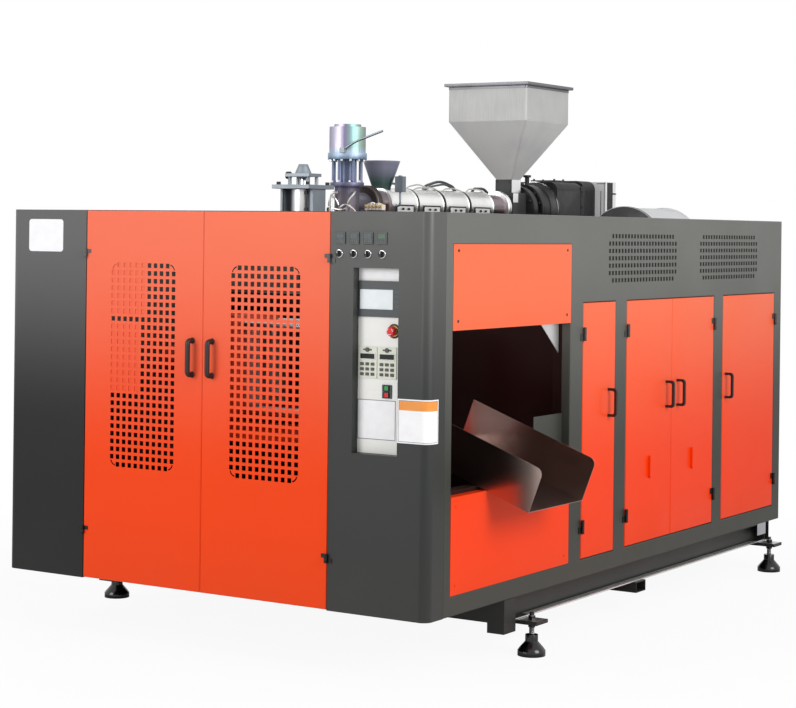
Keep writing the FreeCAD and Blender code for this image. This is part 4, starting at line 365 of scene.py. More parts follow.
die_steel, tree, place = begin_material("chromed_die_head")
die_centre = DRAWING_TO_FRAME @ Vector((0.0, DIE_AXIS_Y, 0.0))
from_axis = add_node(
    tree, "ShaderNodeVectorMath", {"operation": "SUBTRACT", 1: (die_centre.x, die_centre.y, 0.0)},
    {0: place},
)
split = add_node(tree, "ShaderNodeSeparateXYZ", links={"Vector": from_axis.outputs[0]}).outputs
angle = arithmetic(tree, "ARCTAN2", split["Y"], split["X"])
halves = arithmetic(tree, "MULTIPLY_ADD", angle, 1 / math.pi, PAINTED_REFLECTION_TURN)
# The colours round the axis are painted reflections, with a painted highlight in the pale band.
bands = colour_ramp(tree, arithmetic(tree, "FRACT", halves), PAINTED_REFLECTION_COLOURS)
rods = colour_ramp(tree, ranged(tree, split["Z"], 1.9, 2.15), ROD_COLOURS)
haze = noise(tree, place, 25.0, 3.0)
surfaced(
    die_steel, tree, {"Metallic": 1.0},
    blended(tree, ranged(tree, split["Z"], 2.128, 2.16), rods, bands),
    ranged(tree, haze, 0.0, 1.0, 0.45, 0.6), bumped(tree, haze, 0.05, 0.0005),
)
print("die head bands:", len(PAINTED_REFLECTION_COLOURS))

# %% [markdown]
# ## Plastics and rubber
# Handles are glass filled nylon with a fine spark eroded grain of about 0.5 mm, drawn at 3 mm.
# Instrument bezels are smoother ABS, and the keys and the stop head are glossy. One recipe covers
# them, with a colour, a gloss and a grain depth.

# %% Plastics
MOULD_GRAIN = 0.003


def moulded_plastic(name, colour, gloss, grain_depth=0.15):
    """Injection moulded plastic with a grained tool surface and finger polish."""
    material, tree, place = begin_material(name)
    touch = noise(tree, place, 30.0, 3.0)
    tinted = add_node(
        tree, "ShaderNodeHueSaturation", {"Color": linear(colour)},
        {"Value": ranged(tree, touch, 0.3, 0.7, 0.965, 1.02)},
    )
    return surfaced(
        material, tree, {"IOR": 1.52}, tinted.outputs[0],
        ranged(tree, touch, 0.3, 0.7, gloss * 0.85, gloss * 1.2),
        bumped(tree, noise(tree, place, 1 / MOULD_GRAIN, 2.0), grain_depth, 0.0004),
    )


foot_nylon = moulded_plastic("black_nylon_foot", "#090909", 0.2, 0.05)
handle_nylon = moulded_plastic("black_glass_filled_nylon", "#1C100D", 0.5, 0.2)
filter_mat = moulded_plastic("green_grey_filter_mat", "#33362F", 0.8, 0.9)
bezel_abs = moulded_plastic("dark_abs_bezel", "#3B4043", 0.4)
instrument_abs = moulded_plastic("instrument_abs", "#43484A", 0.35)
keypad_film = moulded_plastic("grey_keypad_film", "#DADCCF", 0.4, 0.05)
key_rubber = moulded_plastic("dark_key", "#4A4B44", 0.5)
stop_red = moulded_plastic("stop_button_red", "#D4262A", 0.25, 0.05)
start_green = moulded_plastic("start_button_green", "#2E8E50", 0.28, 0.05)
display_film = moulded_plastic("pale_display_film", "#E9F0F2", 0.22, 0.03)
display_dark = moulded_plastic("dark_display_window", "#1C2622", 0.15, 0.03)
reading_grey = moulded_plastic("grey_reading_window", "#3A4346", 0.25, 0.03)
reading_green = moulded_plastic("green_reading_window", "#34553C", 0.25, 0.03)
dull_key = moulded_plastic("dull_controller_key", "#5C605B", 0.5, 0.05)
ceramic = moulded_plastic("cream_ceramic", "#EFE8DA", 0.45, 0.1)
label_white = moulded_plastic("white_label_film", "#F1F1F3", 0.35, 0.05)
label_grey = moulded_plastic("grey_label_border", "#6E7784", 0.4, 0.05)
label_amber = moulded_plastic("amber_label_field", "#E8923A", 0.35, 0.05)
wire_sheath = moulded_plastic("glass_braid_sheath", "#B9B9B2", 0.7, 0.6)
tape_black = moulded_plastic("black_rubber", "#161616", 0.6, 0.3)
print("plastics made: 20")

# %% [markdown]
# ## Drawing in millimetres
# Every piece is drawn in the machine's millimetres and moved into the frame at the end. Four
# small shapes make most of it: a block, a turned form, a bent rod, and a sheet with holes. A
# piece on the right side is drawn as if on the front and turned by `on_side`, as a fitter works
# with one drawing for both.

# %% Block, turned form and bent rod
BLOCK_FACES = (
    (0, 1, 3, 2), (4, 6, 7, 5), (0, 4, 5, 1), (2, 3, 7, 6), (0, 2, 6, 4), (1, 5, 7, 3),
)


def in_front(across, depth, up):
    """Front view: across is x, depth goes in from the front plane."""
    return (across, depth, up)


def on_side(across, depth, up):
    """Right side view: across is y, depth goes in from the side plane."""
    return (RIGHT - depth, across, up)


def block(mesh, across, depth, up, place=in_front):
    """A block between pairs of coordinates."""
    corner = [mesh.verts.new(place(a, d, u)) for a in across for d in depth for u in up]
    for loop in BLOCK_FACES:
        mesh.faces.new([corner[index] for index in loop])


def turned(mesh, start, direction, profile, sides):
    """A turned form: profile lists how far along direction, and the radius there."""
    along = Vector(direction).normalized()
    first = along.orthogonal().normalized()
    second = along.cross(first)
    rings = []
    for distance, radius in profile:
        centre = Vector(start) + along * distance
        if radius == 0:
            rings.append([mesh.verts.new(centre)])
            continue
        offsets = [(first * a + second * b) * radius for a, b in on_circle(sides, 1.0, 0)]
        rings.append([mesh.verts.new(centre + offset) for offset in offsets])
    for low, high in zip(rings, rings[1:]):
        for step in range(sides):
            after = (step + 1) % sides
            loop = [low[step % len(low)], low[after % len(low)]]
            loop += [high[after % len(high)], high[step % len(high)]]
            mesh.faces.new(list(dict.fromkeys(loop)))
    for ring in (rings[0], rings[-1]):
        if len(ring) > 2:
            mesh.faces.new(ring)


def skin(mesh, rings):
    """The faces between each closed ring of corners and the next."""
    for low, high in zip(rings, rings[1:]):
        for step in range(len(low)):
            after = (step + 1) % len(low)
            mesh.faces.new((low[step], low[after], high[after], high[step]))


def slab(mesh, outline, depth, place=in_front):
    """A flat plate of any outline, (across, up) for each corner, between two depths."""
    faces = [[mesh.verts.new(place(a, deep, u)) for a, u in outline] for deep in depth]
    for loop in faces:
        mesh.faces.new(loop)
    skin(mesh, faces)


def on_circle(count, radius, start=0.5):
    """Places at equal steps round a circle, such as bolts, beginning at a part of a step."""
    angles = [math.tau * (step + start) / count for step in range(count)]
    return [(radius * math.cos(angle), radius * math.sin(angle)) for angle in angles]


def rounded_path(points, radius, steps=5):
    """Points with each inner corner replaced by a curve of about that radius."""
    points = [Vector(point) for point in points]
    path = [points[0]]
    for before, corner, after in zip(points, points[1:], points[2:]):
        reach = min(radius, (corner - before).length / 2, (after - corner).length / 2)
        start = corner + (before - corner).normalized() * reach
        end = corner + (after - corner).normalized() * reach
        for step in range(steps + 1):
            part = step / steps
            path.append(
                start * (1 - part) ** 2 + corner * 2 * part * (1 - part) + end * part ** 2
            )
    return path + [points[-1]]


def bent_rod(mesh, path, radius, sides=10):
    """A round rod along a path, closed at both ends."""
    rings = []
    side = None
    for index, point in enumerate(path):
        ahead = path[min(index + 1, len(path) - 1)] - path[max(index - 1, 0)]
        ahead.normalize()
        side = ahead.orthogonal() if side is None else side - ahead * side.dot(ahead)
        side.normalize()
        other = ahead.cross(side)
        offsets = [(side * a + other * b) * radius for a, b in on_circle(sides, 1.0, 0)]
        rings.append([mesh.verts.new(point + offset) for offset in offsets])
    skin(mesh, rings)
    mesh.faces.new(rings[0])
    mesh.faces.new(rings[-1])


# %% [markdown]
# ## Handing a drawing over
# A finished drawing becomes an object with a material, slightly broken edges and a body to ride
# on. No real edge is perfectly sharp, and the bright line along a broken edge is what makes sheet
# metal look like metal, so most pieces get a bevel of under a millimetre. Pieces that are only
# blocks, one turned form or bent tubes are common enough to have their own short way.

# %% Finish a piece
def break_edges(part, width, harden=True):
    """A small bevel in millimetres on the edges that turn by more than 40 degrees."""
    breaker = part.modifiers.new("broken_edges", "BEVEL")
    breaker.width = width * MM
    breaker.segments = 2
    breaker.angle_limit = math.radians(40)
    breaker.harden_normals = harden


def piece(name, mesh, material, body="machine", edge=0.0, stands_for=(), sharp=32):
    """Turn a drawing into an object that rides on a body of the machine."""
    bmesh.ops.recalc_face_normals(mesh, faces=mesh.faces[:])
    mesh.transform(DRAWING_TO_FRAME)
    data = bpy.data.meshes.new(name)
    mesh.to_mesh(data)
    mesh.free()
    data.polygons.foreach_set("use_smooth", [True] * len(data.polygons))
    data.set_sharp_from_angle(angle=math.radians(sharp))
    data.materials.append(material)
    made = bpy.data.objects.new(name, data)
    bpy.context.scene.collection.objects.link(made)
    if edge:
        break_edges(made, edge)
    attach(made, body)
    if stands_for:
        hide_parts(*stands_for)


def blocks(name, boxes, material, body="machine", edge=0.0, place=in_front):
    """A piece made of blocks alone, each given as (across, depth, up)."""
    mesh = bmesh.new()
    for box in boxes:
        block(mesh, *box, place)
    piece(name, mesh, material, body, edge)


def turning(name, start, direction, profile, sides, material):
    """A piece that is one turned form."""
    mesh = bmesh.new()
    turned(mesh, start, direction, profile, sides)
    piece(name, mesh, material)


def tubing(name, runs, bend, steps, material):
    """A piece made of bent tubes, each given as its radius and the points it runs through."""
    mesh = bmesh.new()
    for radius, *points in runs:
        bent_rod(mesh, rounded_path(points, bend, steps), radius, 8)
    piece(name, mesh, material)


# %% [markdown]
# ## Sheet metal
# A door skin is laser cut flat and then folded. `pierced_sheet` draws the flat blank: lines along
# all the hole edges divide it into cells, and the cells of the holes stay empty. `folded_edge`
# adds the bend and the flange round it. A Boolean with 600 cutters would do the same slowly and
# leave long thin triangles that catch the light.

# %% Pierced sheet and folded edge
SLIT_OUTER, SLIT_INNER = 30.0, 24.0


def pierced_sheet(mesh, across, up, depth, holes, place=in_front):
    """A flat sheet between two depths with rectangular holes (across 0, 1, up 0, 1)."""
    lines_a = sorted({*across, *(edge for hole in holes for edge in hole[:2])})
    lines_u = sorted({*up, *(edge for hole in holes for edge in hole[2:])})
    column = {edge: index for index, edge in enumerate(lines_a)}
    row = {edge: index for index, edge in enumerate(lines_u)}
    empty = set()
    for a0, a1, u0, u1 in holes:
        for i in range(column[a0], column[a1]):
            empty.update((i, j) for j in range(row[u0], row[u1]))
    corner = {}

    def at(i, j, face):
        if (i, j, face) not in corner:
            corner[i, j, face] = mesh.verts.new(place(lines_a[i], depth[face], lines_u[j]))
        return corner[i, j, face]

    def is_sheet(i, j):
        inside = 0 <= i < len(lines_a) - 1 and 0 <= j < len(lines_u) - 1
        return inside and (i, j) not in empty

    for i in range(len(lines_a) - 1):
        for j in range(len(lines_u) - 1):
            if not is_sheet(i, j):
                continue
            loop = ((i, j), (i + 1, j), (i + 1, j + 1), (i, j + 1))
            for face in (0, 1):
                mesh.faces.new([at(*spot, face) for spot in loop])
            for (start, end), beyond in zip(
                zip(loop, loop[1:] + loop[:1]), ((i, j - 1), (i + 1, j), (i, j + 1), (i - 1, j))
            ):
                if not is_sheet(*beyond):
                    mesh.faces.new([at(*start, 0), at(*end, 0), at(*end, 1), at(*start, 1)])


def folded_edge(mesh, across, up, sheet, depth, bend, side, place=in_front):
    """The bend and flange round a rectangle: side 1 for a panel's rim, -1 for an opening."""
    profile = []
    for radius, angles in ((bend, (0, 30, 60, 90)), (bend - sheet, (90, 60, 30, 0))):
        arc = []
        for angle in angles:
            turn = math.radians(angle)
            arc.append((bend - radius * math.sin(turn), bend - radius * math.cos(turn)))
        profile += arc if radius == bend else [(0, depth), (sheet, depth)] + arc
    rings = []
    for inset, deep in profile:
        shift = side * inset
        a0, a1, u0, u1 = across[0] + shift, across[1] - shift, up[0] + shift, up[1] - shift
        rings.append(
            [mesh.verts.new(place(a, deep, u)) for a, u in ((a0, u0), (a1, u0), (a1, u1), (a0, u1))]
        )
    skin(mesh, rings)


def corner_slit(mesh, corner, inward, depth, size, pitch):
    """A square patch at a grid's corner with the curved slit that rounds the grid off."""
    a0, u0 = corner
    step_a, step_u = inward
    centre = (a0 + step_a * pitch, u0 + step_u * pitch)
    outer = [
        (a0 + step_a * a, u0 + step_u * u)
        for a, u in (
            (0, 0), (size, 0), (pitch, 0), (pitch, size), (pitch, pitch), (size, pitch),
            (0, pitch), (0, size),
        )
    ]
    slit = []
    for radius, angles in ((SLIT_OUTER, range(10, 81, 10)), (SLIT_INNER, range(80, 9, -10))):
        for turn in map(math.radians, angles):
            reach_a, reach_u = radius * math.cos(turn), radius * math.sin(turn)
            slit.append((centre[0] - step_a * reach_a, centre[1] - step_u * reach_u))
    loops = [[Vector((a, u, 0)) for a, u in loop] for loop in (outer, slit)]
    triangles = geometry.tessellate_polygon(loops)
    spots = outer + slit
    sides = [[mesh.verts.new((a, deep, u)) for a, u in spots] for deep in depth]
    for triangle in triangles:
        for side in sides:
            mesh.faces.new([side[index] for index in triangle])
    for index in range(len(outer), len(spots)):
        after = len(outer) + (index + 1 - len(outer)) % len(slit)
        mesh.faces.new((sides[0][index], sides[0][after], sides[1][after], sides[1][index]))


def square_holes(centre, columns, rows, pitch, size):
    """Square holes in a grid as (across 0, 1, up 0, 1), by column and row."""
    holes = {}
    for column in range(columns):
        for row in range(rows):
            a = centre[0] + (column - (columns - 1) / 2) * pitch[0] - size / 2
            u = centre[1] + (row - (rows - 1) / 2) * pitch[1] - size / 2
            holes[column, row] = (round(a, 3), round(a + size, 3), round(u, 3), round(u + size, 3))
    return holes


# %% [markdown]
# ## Front doors
# Each leaf is one folded sheet with 293 square holes so that the operator can watch the moulds
# and the hot parts stay out of reach. The four corner holes are left out and a curved slit rounds
# the field off. Lift-off hinges are welded to the outer edge: the door half is a leaf and a
# barrel that drops over the pin of the fixed half.

# %% Front doors
DOOR_SHEET, DOOR_DEPTH, DOOR_BEND, DOOR_GAP = 2.0, 25.0, 4.0, 3.0
HOLE_PITCH, HOLE_SIZE = 33.0, 20.0
GRID_HEIGHT = 1185.0
DOORWAY_LEFT, FRONT_SEAM, DOORWAY_RIGHT = -662.0, -17.0, 628.0
LIP_REACH, LIP_DEPTH = (-1.6, 1.2), (0.3, 8.0)
FRONT_HINGES = ((460.0, 1662.0), 36.0)  # their heights and their length
PIN_REACH = 9.0


def hinge_half(mesh, axis, side, centre, length, place=in_front):
    """The door's half of a lift-off hinge: a welded leaf and a barrel, with rounded rims."""
    rise = length / 2
    leaf = sorted((axis + side * 4, axis + side * 26))
    tongue = sorted((axis - side * 2, axis + side * 6))
    for across, depth in ((leaf, (-3.0, 0.0)), (tongue, (-PIN_REACH, -2.0))):
        block(mesh, across, depth, (centre + 1, centre + rise - 1), place)
    barrel = [(0, 5.8), (1.2, 7), (rise - 1.2, 7), (rise, 5.8), (rise, 0)]
    turned(mesh, place(axis, -PIN_REACH, centre), (0, 0, 1), barrel, 20)


def folded_leaf(mesh, names, body, edges, up, side, holes, coat, hinging, place=in_front):
    """A door's leaf and hinge halves, hinged at its first (side 1) or last (side -1) edge."""
    gaps = (DOOR_GAP, DOOR_GAP / 2)[::side]
    across, up = (edges[0] + gaps[0], edges[1] - gaps[1]), (up[0] + DOOR_GAP, up[1] - DOOR_GAP)
    flat_a, flat_u = ((low + DOOR_BEND, high - DOOR_BEND) for low, high in (across, up))
    pierced_sheet(mesh, flat_a, flat_u, (0.0, DOOR_SHEET), holes, place)
    folded_edge(mesh, across, up, DOOR_SHEET, DOOR_DEPTH, DOOR_BEND, 1, place)
    axis = edges[0] + DOOR_GAP / 2 if side > 0 else edges[1] - DOOR_GAP / 2
    hinges = bmesh.new()
    for height in hinging[0]:
        hinge_half(hinges, axis, side, height, hinging[1], place)
    piece(names[0], mesh, coat, body, stands_for=[body])
    piece(names[1], hinges, graphite_coat, body)


def front_leaf(name, edges, side):
    """A perforated front leaf with rounded corners to its field of holes."""
    middle = (edges[0] + edges[1]) / 2
    grid = square_holes((middle, GRID_HEIGHT), 11, 27, (HOLE_PITCH, HOLE_PITCH), HOLE_SIZE)
    holes = [hole for spot, hole in grid.items() if not (spot[0] in (0, 10) and spot[1] in (0, 26))]
    mesh = bmesh.new()
    for column, row in ((0, 0), (10, 0), (0, 26), (10, 26)):
        a0, a1, u0, u1 = grid[column, row]
        step_a, step_u = (1 if column == 0 else -1), (1 if row == 0 else -1)
        corner = (a0 if step_a > 0 else a1, u0 if step_u > 0 else u1)
        patch = []
        for near, step in zip(corner, (step_a, step_u)):
            patch += [round(edge, 3) for edge in sorted((near, near + step * HOLE_PITCH))]
        holes.append(tuple(patch))
        corner_slit(mesh, corner, (step_a, step_u), (0.0, DOOR_SHEET), HOLE_SIZE, HOLE_PITCH)
    folded_leaf(
        mesh, ("front_leaf_" + name, "front_hinges_" + name), "front_door_" + name, edges,
        (BOTTOM, TOP), side, holes, orange_coat, FRONT_HINGES,
    )
    return len(holes) - 4


pierced = front_leaf("left", (DOORWAY_LEFT, FRONT_SEAM), 1)
pierced += front_leaf("right", (FRONT_SEAM, DOORWAY_RIGHT), -1)
lip = [FRONT_SEAM + reach for reach in LIP_REACH]
blocks(
    "front_seam_lip", [(lip, LIP_DEPTH, (BOTTOM + 4, TOP - 4))], orange_coat,
    "front_door_left",
)
print("holes cut in the front doors:", pierced)

# %% [markdown]
# ## Pull handles and baffles
# The front pulls are stout nylon bows, thick enough for a gloved hand. One bent bar with large
# bends makes each. Two baffle sheets inside the left leaf blank off some of its holes, where hot
# parts come close, and show through the holes in the doors' own orange.

# %% Pull handles and baffles
PULL_FROM_SEAM, PULL_CENTRE, PULL_HALF, PULL_REACH, PULL_BEND = 52.0, 1233.0, 71.5, 33.0, 18
for side, x in (("left", FRONT_SEAM - PULL_FROM_SEAM), ("right", FRONT_SEAM + PULL_FROM_SEAM)):
    bow = bmesh.new()
    low, high = PULL_CENTRE - PULL_HALF, PULL_CENTRE + PULL_HALF
    bar = [(x, 0.0, low), (x, -PULL_REACH, low), (x, -PULL_REACH, high), (x, 0.0, high)]
    bent_rod(bow, rounded_path(bar, PULL_BEND), 10.5, 16)
    for z in (low, high):
        turned(bow, (x, 0.0, z), (0, -1, 0), [(0, 13.5), (2.5, 13.5), (4.5, 11), (4.5, 0)], 20)
    piece(
        "front_pull_" + side, bow, handle_nylon, "front_door_" + side,
        stands_for=["front_handle_" + side],
    )
baffle_depth = (DOOR_SHEET + 0.8, DOOR_SHEET + 2.3)
baffles = [
    ((-527.0, -322.0), baffle_depth, (1400.0, 1632.0)),
    ((-527.0, -356.0), baffle_depth, (1070.0, 1366.0)),
]
blocks("leaf_baffle_sheets", baffles, orange_coat, "front_door_left", 0.4)
print("pull handles: 2, baffle sheets: 2")

# %% [markdown]
# ## Right side sheet
# One long grey sheet carries the outlet and three door openings, each with its edges folded in,
# and two ventilation fields of small square holes near the top. Behind the outlet a filler plate
# closes the low corner that the chute doesn't need.

# %% Right side sheet
SHEET, RETURN_DEPTH, SHEET_BEND = 3.0, 43.0, 5.0
SILL_TOP, COVER_HEAD, SIDE_DOOR_TOP = 330.0, 1725.0, 1468.0
OUTLET, NARROW, PAIR, END = (173.0, 1173.0), (1290.0, 1611.0), (1726.0, 2712.0), (2826.0, 3504.0)
PAIR_SEAM = 2219.0
SHEET_FRONT, VENT_CENTRES = 120.0, (1896.0, 2896.0)
side_mesh = bmesh.new()
side_holes = []
for across, head in (
    (OUTLET, COVER_HEAD), (NARROW, SIDE_DOOR_TOP), (PAIR, SIDE_DOOR_TOP), (END, SIDE_DOOR_TOP)
):
    side_holes.append((
        across[0] - SHEET_BEND, across[1] + SHEET_BEND, SILL_TOP - SHEET_BEND, head + SHEET_BEND
    ))
    folded_edge(side_mesh, across, (SILL_TOP, head), SHEET, RETURN_DEPTH, SHEET_BEND, -1, on_side)
for centre in VENT_CENTRES:
    field = square_holes((centre, 1661.5), 23, 7, (32.0, 33.5), 19.0)
    side_holes += [
        hole for (column, row), hole in field.items()
        if not (column in (0, 22) and row in (0, 6))
    ]
long, tall = (SHEET_FRONT, REAR), (BOTTOM, TOP)
flat_y, flat_z = ((low + SHEET_BEND, high - SHEET_BEND) for low, high in (long, tall))
pierced_sheet(side_mesh, flat_y, flat_z, (0.0, SHEET), side_holes, on_side)
folded_edge(side_mesh, long, tall, SHEET, RETURN_DEPTH, SHEET_BEND, 1, on_side)
block(side_mesh, (918.0, OUTLET[1]), (RETURN_DEPTH - SHEET, RETURN_DEPTH), (722.0, 985.0), on_side)
piece("side_sheet", side_mesh, side_coat_painted_light, stands_for=["right_side_frame"])
print("openings and vent holes in the side sheet:", len(side_holes))

# %% [markdown]
# ## Side doors and fixed covers
# The four side doors are plain folded leaves in the side's copy of the orange coat, whose own
# tints and weaker reflection are set for the light on the side: painted light. Their hinge halves
# are graphite like the case, because a hinge is coated before it is screwed on. The two covers
# over and under the outlet are held by a screw near each corner.

# %% Side doors
LOCK_PLACES, LOCK_UP, LOCK_HALF = (1980.0, 2458.0), 678.0, 9
SIDE_HINGES = ((475.0, 1328.0), 60.0)


def side_leaf(body, edges, side):
    """A plain leaf of the right side, with a square hole for each lock's spindle."""
    spindles = [
        (y - LOCK_HALF, y + LOCK_HALF, LOCK_UP - LOCK_HALF, LOCK_UP + LOCK_HALF)
        for y in LOCK_PLACES if edges[0] < y < edges[1]
    ]
    folded_leaf(
        bmesh.new(), (body + "_leaf", body + "_hinges"), body, edges, (SILL_TOP, SIDE_DOOR_TOP),
        side, spindles, orange_side_coat_painted_light, SIDE_HINGES, on_side,
    )


side_leaf("narrow_door", NARROW, 1)
side_leaf("side_door_front", (PAIR[0], PAIR_SEAM), 1)
side_leaf("side_door_rear", (PAIR_SEAM, PAIR[1]), -1)
side_leaf("end_door", END, -1)
lip = [PAIR_SEAM + reach for reach in LIP_REACH]
blocks(
    "side_seam_lip", [(lip, LIP_DEPTH, (SILL_TOP + 4, SIDE_DOOR_TOP - 4))], orange_side_coat_painted_light,
    "side_door_front", place=on_side,
)
MAT_HALF, MAT_DEPTH, MAT_HEIGHT = 375.0, (SHEET + 3.0, SHEET + 9.0), (1545.0, 1778.0)
mats = [((y - MAT_HALF, y + MAT_HALF), MAT_DEPTH, MAT_HEIGHT) for y in VENT_CENTRES]
blocks("vent_filter_mats", mats, filter_mat, place=on_side)
print("side doors folded: 4, filter mats: 2")

# %% Screws of the covers and of the hidden sheets
def screw_head(mesh, place, direction, radius, height):
    """A round screw head with a domed top."""
    turned(
        mesh, place, direction,
        [(0, radius), (height * 0.5, radius), (height * 0.85, radius * 0.75), (height, 0)], 12,
    )


PROUD_HEAD, FLUSH_HEAD, SCREW_PITCH = 3.5, 0.1, 420.0
for name, rows, radius, finish in (
    ("upper", (1418.0, 1699.0), 6.0, drive_enamel), ("lower", (369.0, 683.0), 5.0, orange_side_coat_painted_light)
):
    cover_screws = bmesh.new()
    for y, z in product((212.0, 1134.0), rows):
        screw_head(cover_screws, (RIGHT, y, z), (1, 0, 0), radius, PROUD_HEAD)
    piece(name + "_cover_screws", cover_screws, finish)
sheet_screws = bmesh.new()
for z, step in product((290.0, 1050.0, 1810.0), range(9)):
    screw_head(sheet_screws, (LEFT, 180.0 + SCREW_PITCH * step, z), (-1, 0, 0), 6.0, PROUD_HEAD)
for z, x in product((290.0, 670.0, 1050.0, 1430.0, 1810.0), (-1040.0, 1040.0)):
    screw_head(sheet_screws, (x, REAR, z), (0, 1, 0), 6.0, FLUSH_HEAD)
piece("hidden_sheet_screws", sheet_screws, zinc_steel)
print("screws set in covers and sheets: 8 and 37")

# %% [markdown]
# ## Finishes for the parts that keep their CAD shape
# Most CAD parts already have the right form. Each gets its finish, and a small bevel so that its
# edges catch light. The frame's meshes are split at sharp edges, so a weld comes first. The
# control column keeps its own normals, because its rounded corner meets a large flat with holes
# and hardened normals would draw a line there.

# %% Finish the CAD parts
FINISHES = (
    (orange_side_coat_painted_light, "outlet_covers side_lock_front side_lock_rear"),
    (graphite_coat, "front_left_column door_hinges"),
    (column_coat_painted_light, "control_column"),
    (side_coat_painted_light, "left_side_panel rear_panel"),
    (base_coat, "base_frame carriage_rails hydraulic_unit"),
    (inner_coat, "machine_frame extruder_deck"),
    (
        handle_nylon,
        "front_handle_left front_handle_right narrow_door_handle side_handle_front"
        " side_handle_rear end_door_handle",
    ),
    (enamel_white, "control_panel electrical_panel"),
    (bezel_abs, "touch_screen temperature_controllers push_button_block"),
    (keypad_film, "operator_keypads"),
    (start_green, "start_button"),
    (stop_red, "stop_button emergency_stop"),
    (tape_black, "selector_knob_1 selector_knob_2 selector_knob_3 selector_knob_4"),
    (chute_stainless_painted_reflection, "outlet_chute"),
    (hopper_edge, "feed_hopper hopper_lid"),
    (tinted_coat, "colour_hopper"),
    (foot_nylon, "levelling_feet"),
    (nitrided_steel, "barrel extruder_screw"),
    (throat_iron, "feed_throat"),
    (machined_steel, "tie_bars"),
    (die_steel, "die_head"),
    (drive_enamel, "gearbox drive_motor"),
    (tank_enamel, "air_tank"),
    (ground_steel, "blow_station"),
    (chrome, "blow_pin"),
    (orange_coat, "carriage platen_left platen_right"),
    (mould_alloy, "mould_left mould_right"),
)
finished = 0
for material, names in FINISHES:
    for name in names.split():
        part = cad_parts[name]
        part.data.materials.clear()
        part.data.materials.append(material)
        joiner = part.modifiers.new("weld_splits", "WELD")
        joiner.merge_threshold = 0.01 * MM
        break_edges(part, 0.8, name != "control_column")
        finished += 1
print("CAD parts finished:", finished)

# %% [markdown]
# ## Controls
# The panel in the column's recess is a white plate with a framed touch screen, two key units, a
# twin push-button and the emergency stop. The controllers and selector knobs sit above it. Each
# unit gets the parts that a hand or an eye looks for: a raised frame, a window, keys, a bright
# ring round each knob.

# %% Screen, key units and buttons
PANEL_LEFT, PANEL_RIGHT, PANEL_FACE = 740.0, 953.5, 38.0
RECESS_MIDDLE = (PANEL_LEFT + PANEL_RIGHT) / 2
UNIT_FACE = PANEL_FACE - 4.0
UNIT_BACK = UNIT_FACE + 0.2  # what sits on a unit is let into its face by this much


def framed(name, across, up, depth, window, material):
    """A raised rectangular frame round a window, drawn as a pierced sheet with a fine bevel."""
    mesh = bmesh.new()
    pierced_sheet(mesh, across, up, depth, [window])
    piece(name, mesh, material, edge=0.8)


def plate(name, across, up, depth, material, edge=0.4):
    """A thin plate such as a display or a bare film."""
    blocks(name, [(across, depth, up)], material, edge=edge)


screen_x, screen_z = (RECESS_MIDDLE - 102, RECESS_MIDDLE + 102), (1432.0, 1575.0)
display_x, display_z = (751.0, 907.0), (1462.0, 1541.0)
framed(
    "screen_frame", screen_x, screen_z, (UNIT_FACE - 4, UNIT_BACK), (*display_x, *display_z),
    bezel_abs,
)
plate(
    "screen_display", display_x, display_z, (UNIT_FACE - 1.5, UNIT_BACK), display_film,
    0.2,
)
keys = [
    ((918.0, 936.0), (UNIT_FACE - 5, UNIT_FACE - 4), (z, z + 11.0))
    for z in (1470.0, 1489.0, 1508.0, 1527.0)
]
blocks("screen_side_keys", keys, instrument_abs, edge=0.4)
plate(
    "upper_strip_bare", (744, 950), (1584, 1621), (PANEL_FACE - 0.8, PANEL_FACE), label_white,
)

unit_height = (1187.0, 1314.0)
for side, centre in (("left", 788.5), ("right", 881.0)):
    key_places = product((centre - 25, centre, centre + 25), (1204.0, 1224.0, 1244.0))
    keys = [((x - 8, x + 8), (UNIT_FACE - 3, UNIT_BACK), (z - 6, z + 6)) for x, z in key_places]
    blocks(f"unit_keys_{side}", keys, key_rubber, edge=0.8)
    window_z = (unit_height[0] + 78, unit_height[0] + 98)
    framed(
        f"unit_window_frame_{side}", (centre - 38, centre + 38), (window_z[0] - 4, window_z[1] + 4),
        (UNIT_FACE - 2, UNIT_BACK), (centre - 34, centre + 34, *window_z),
        keypad_film,
    )
    plate(
        f"unit_window_{side}", (centre - 34, centre + 34), window_z,
        (UNIT_FACE - 0.8, UNIT_BACK), display_dark, 0.2,
    )
    knob = bmesh.new()
    top = unit_height[1] - 13
    turned(knob, (centre, UNIT_BACK, top), (0, -1, 0), [(0, 9), (5, 9), (6, 8), (6, 0)], 24)
    block(knob, (centre - 20, centre + 20), (UNIT_FACE - 1.8, UNIT_BACK), (top - 3, top + 3))
    piece(f"unit_cam_switch_{side}", knob, key_rubber, edge=0.4)
print("operator units dressed: screen and 2 key units")

# %% Twin push-button and emergency stop
def rounded_outline(across, up, radius, steps=6):
    """Corner points of a rectangle with rounded corners."""
    outline = []
    for quarter, (a, u) in enumerate(
        ((across[1] - radius, up[1] - radius), (across[0] + radius, up[1] - radius),
         (across[0] + radius, up[0] + radius), (across[1] - radius, up[0] + radius))
    ):
        for step in range(steps + 1):
            angle = math.pi / 2 * (quarter + step / steps)
            outline.append((a + radius * math.cos(angle), u + radius * math.sin(angle)))
    return outline


button_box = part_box("push_button_block")
middle = sum((corner.x - ORIGIN.x) / MM for corner in button_box) / 2
block_low, block_high = (corner.z / MM for corner in button_box)
bars = ((-12, 12, -12, -10), (-12, 12, 10, 12), (-12, -10, -10, 10), (10, 12, -10, 10))
surrounds = [
    ((middle + a0, middle + a1), (UNIT_FACE - 5.6, UNIT_BACK), (centre + u0, centre + u1))
    for centre in (block_low + 13.5, block_high - 13.5) for a0, a1, u0, u1 in bars
]
blocks("twin_button_surrounds", surrounds, tape_black, edge=0.5)

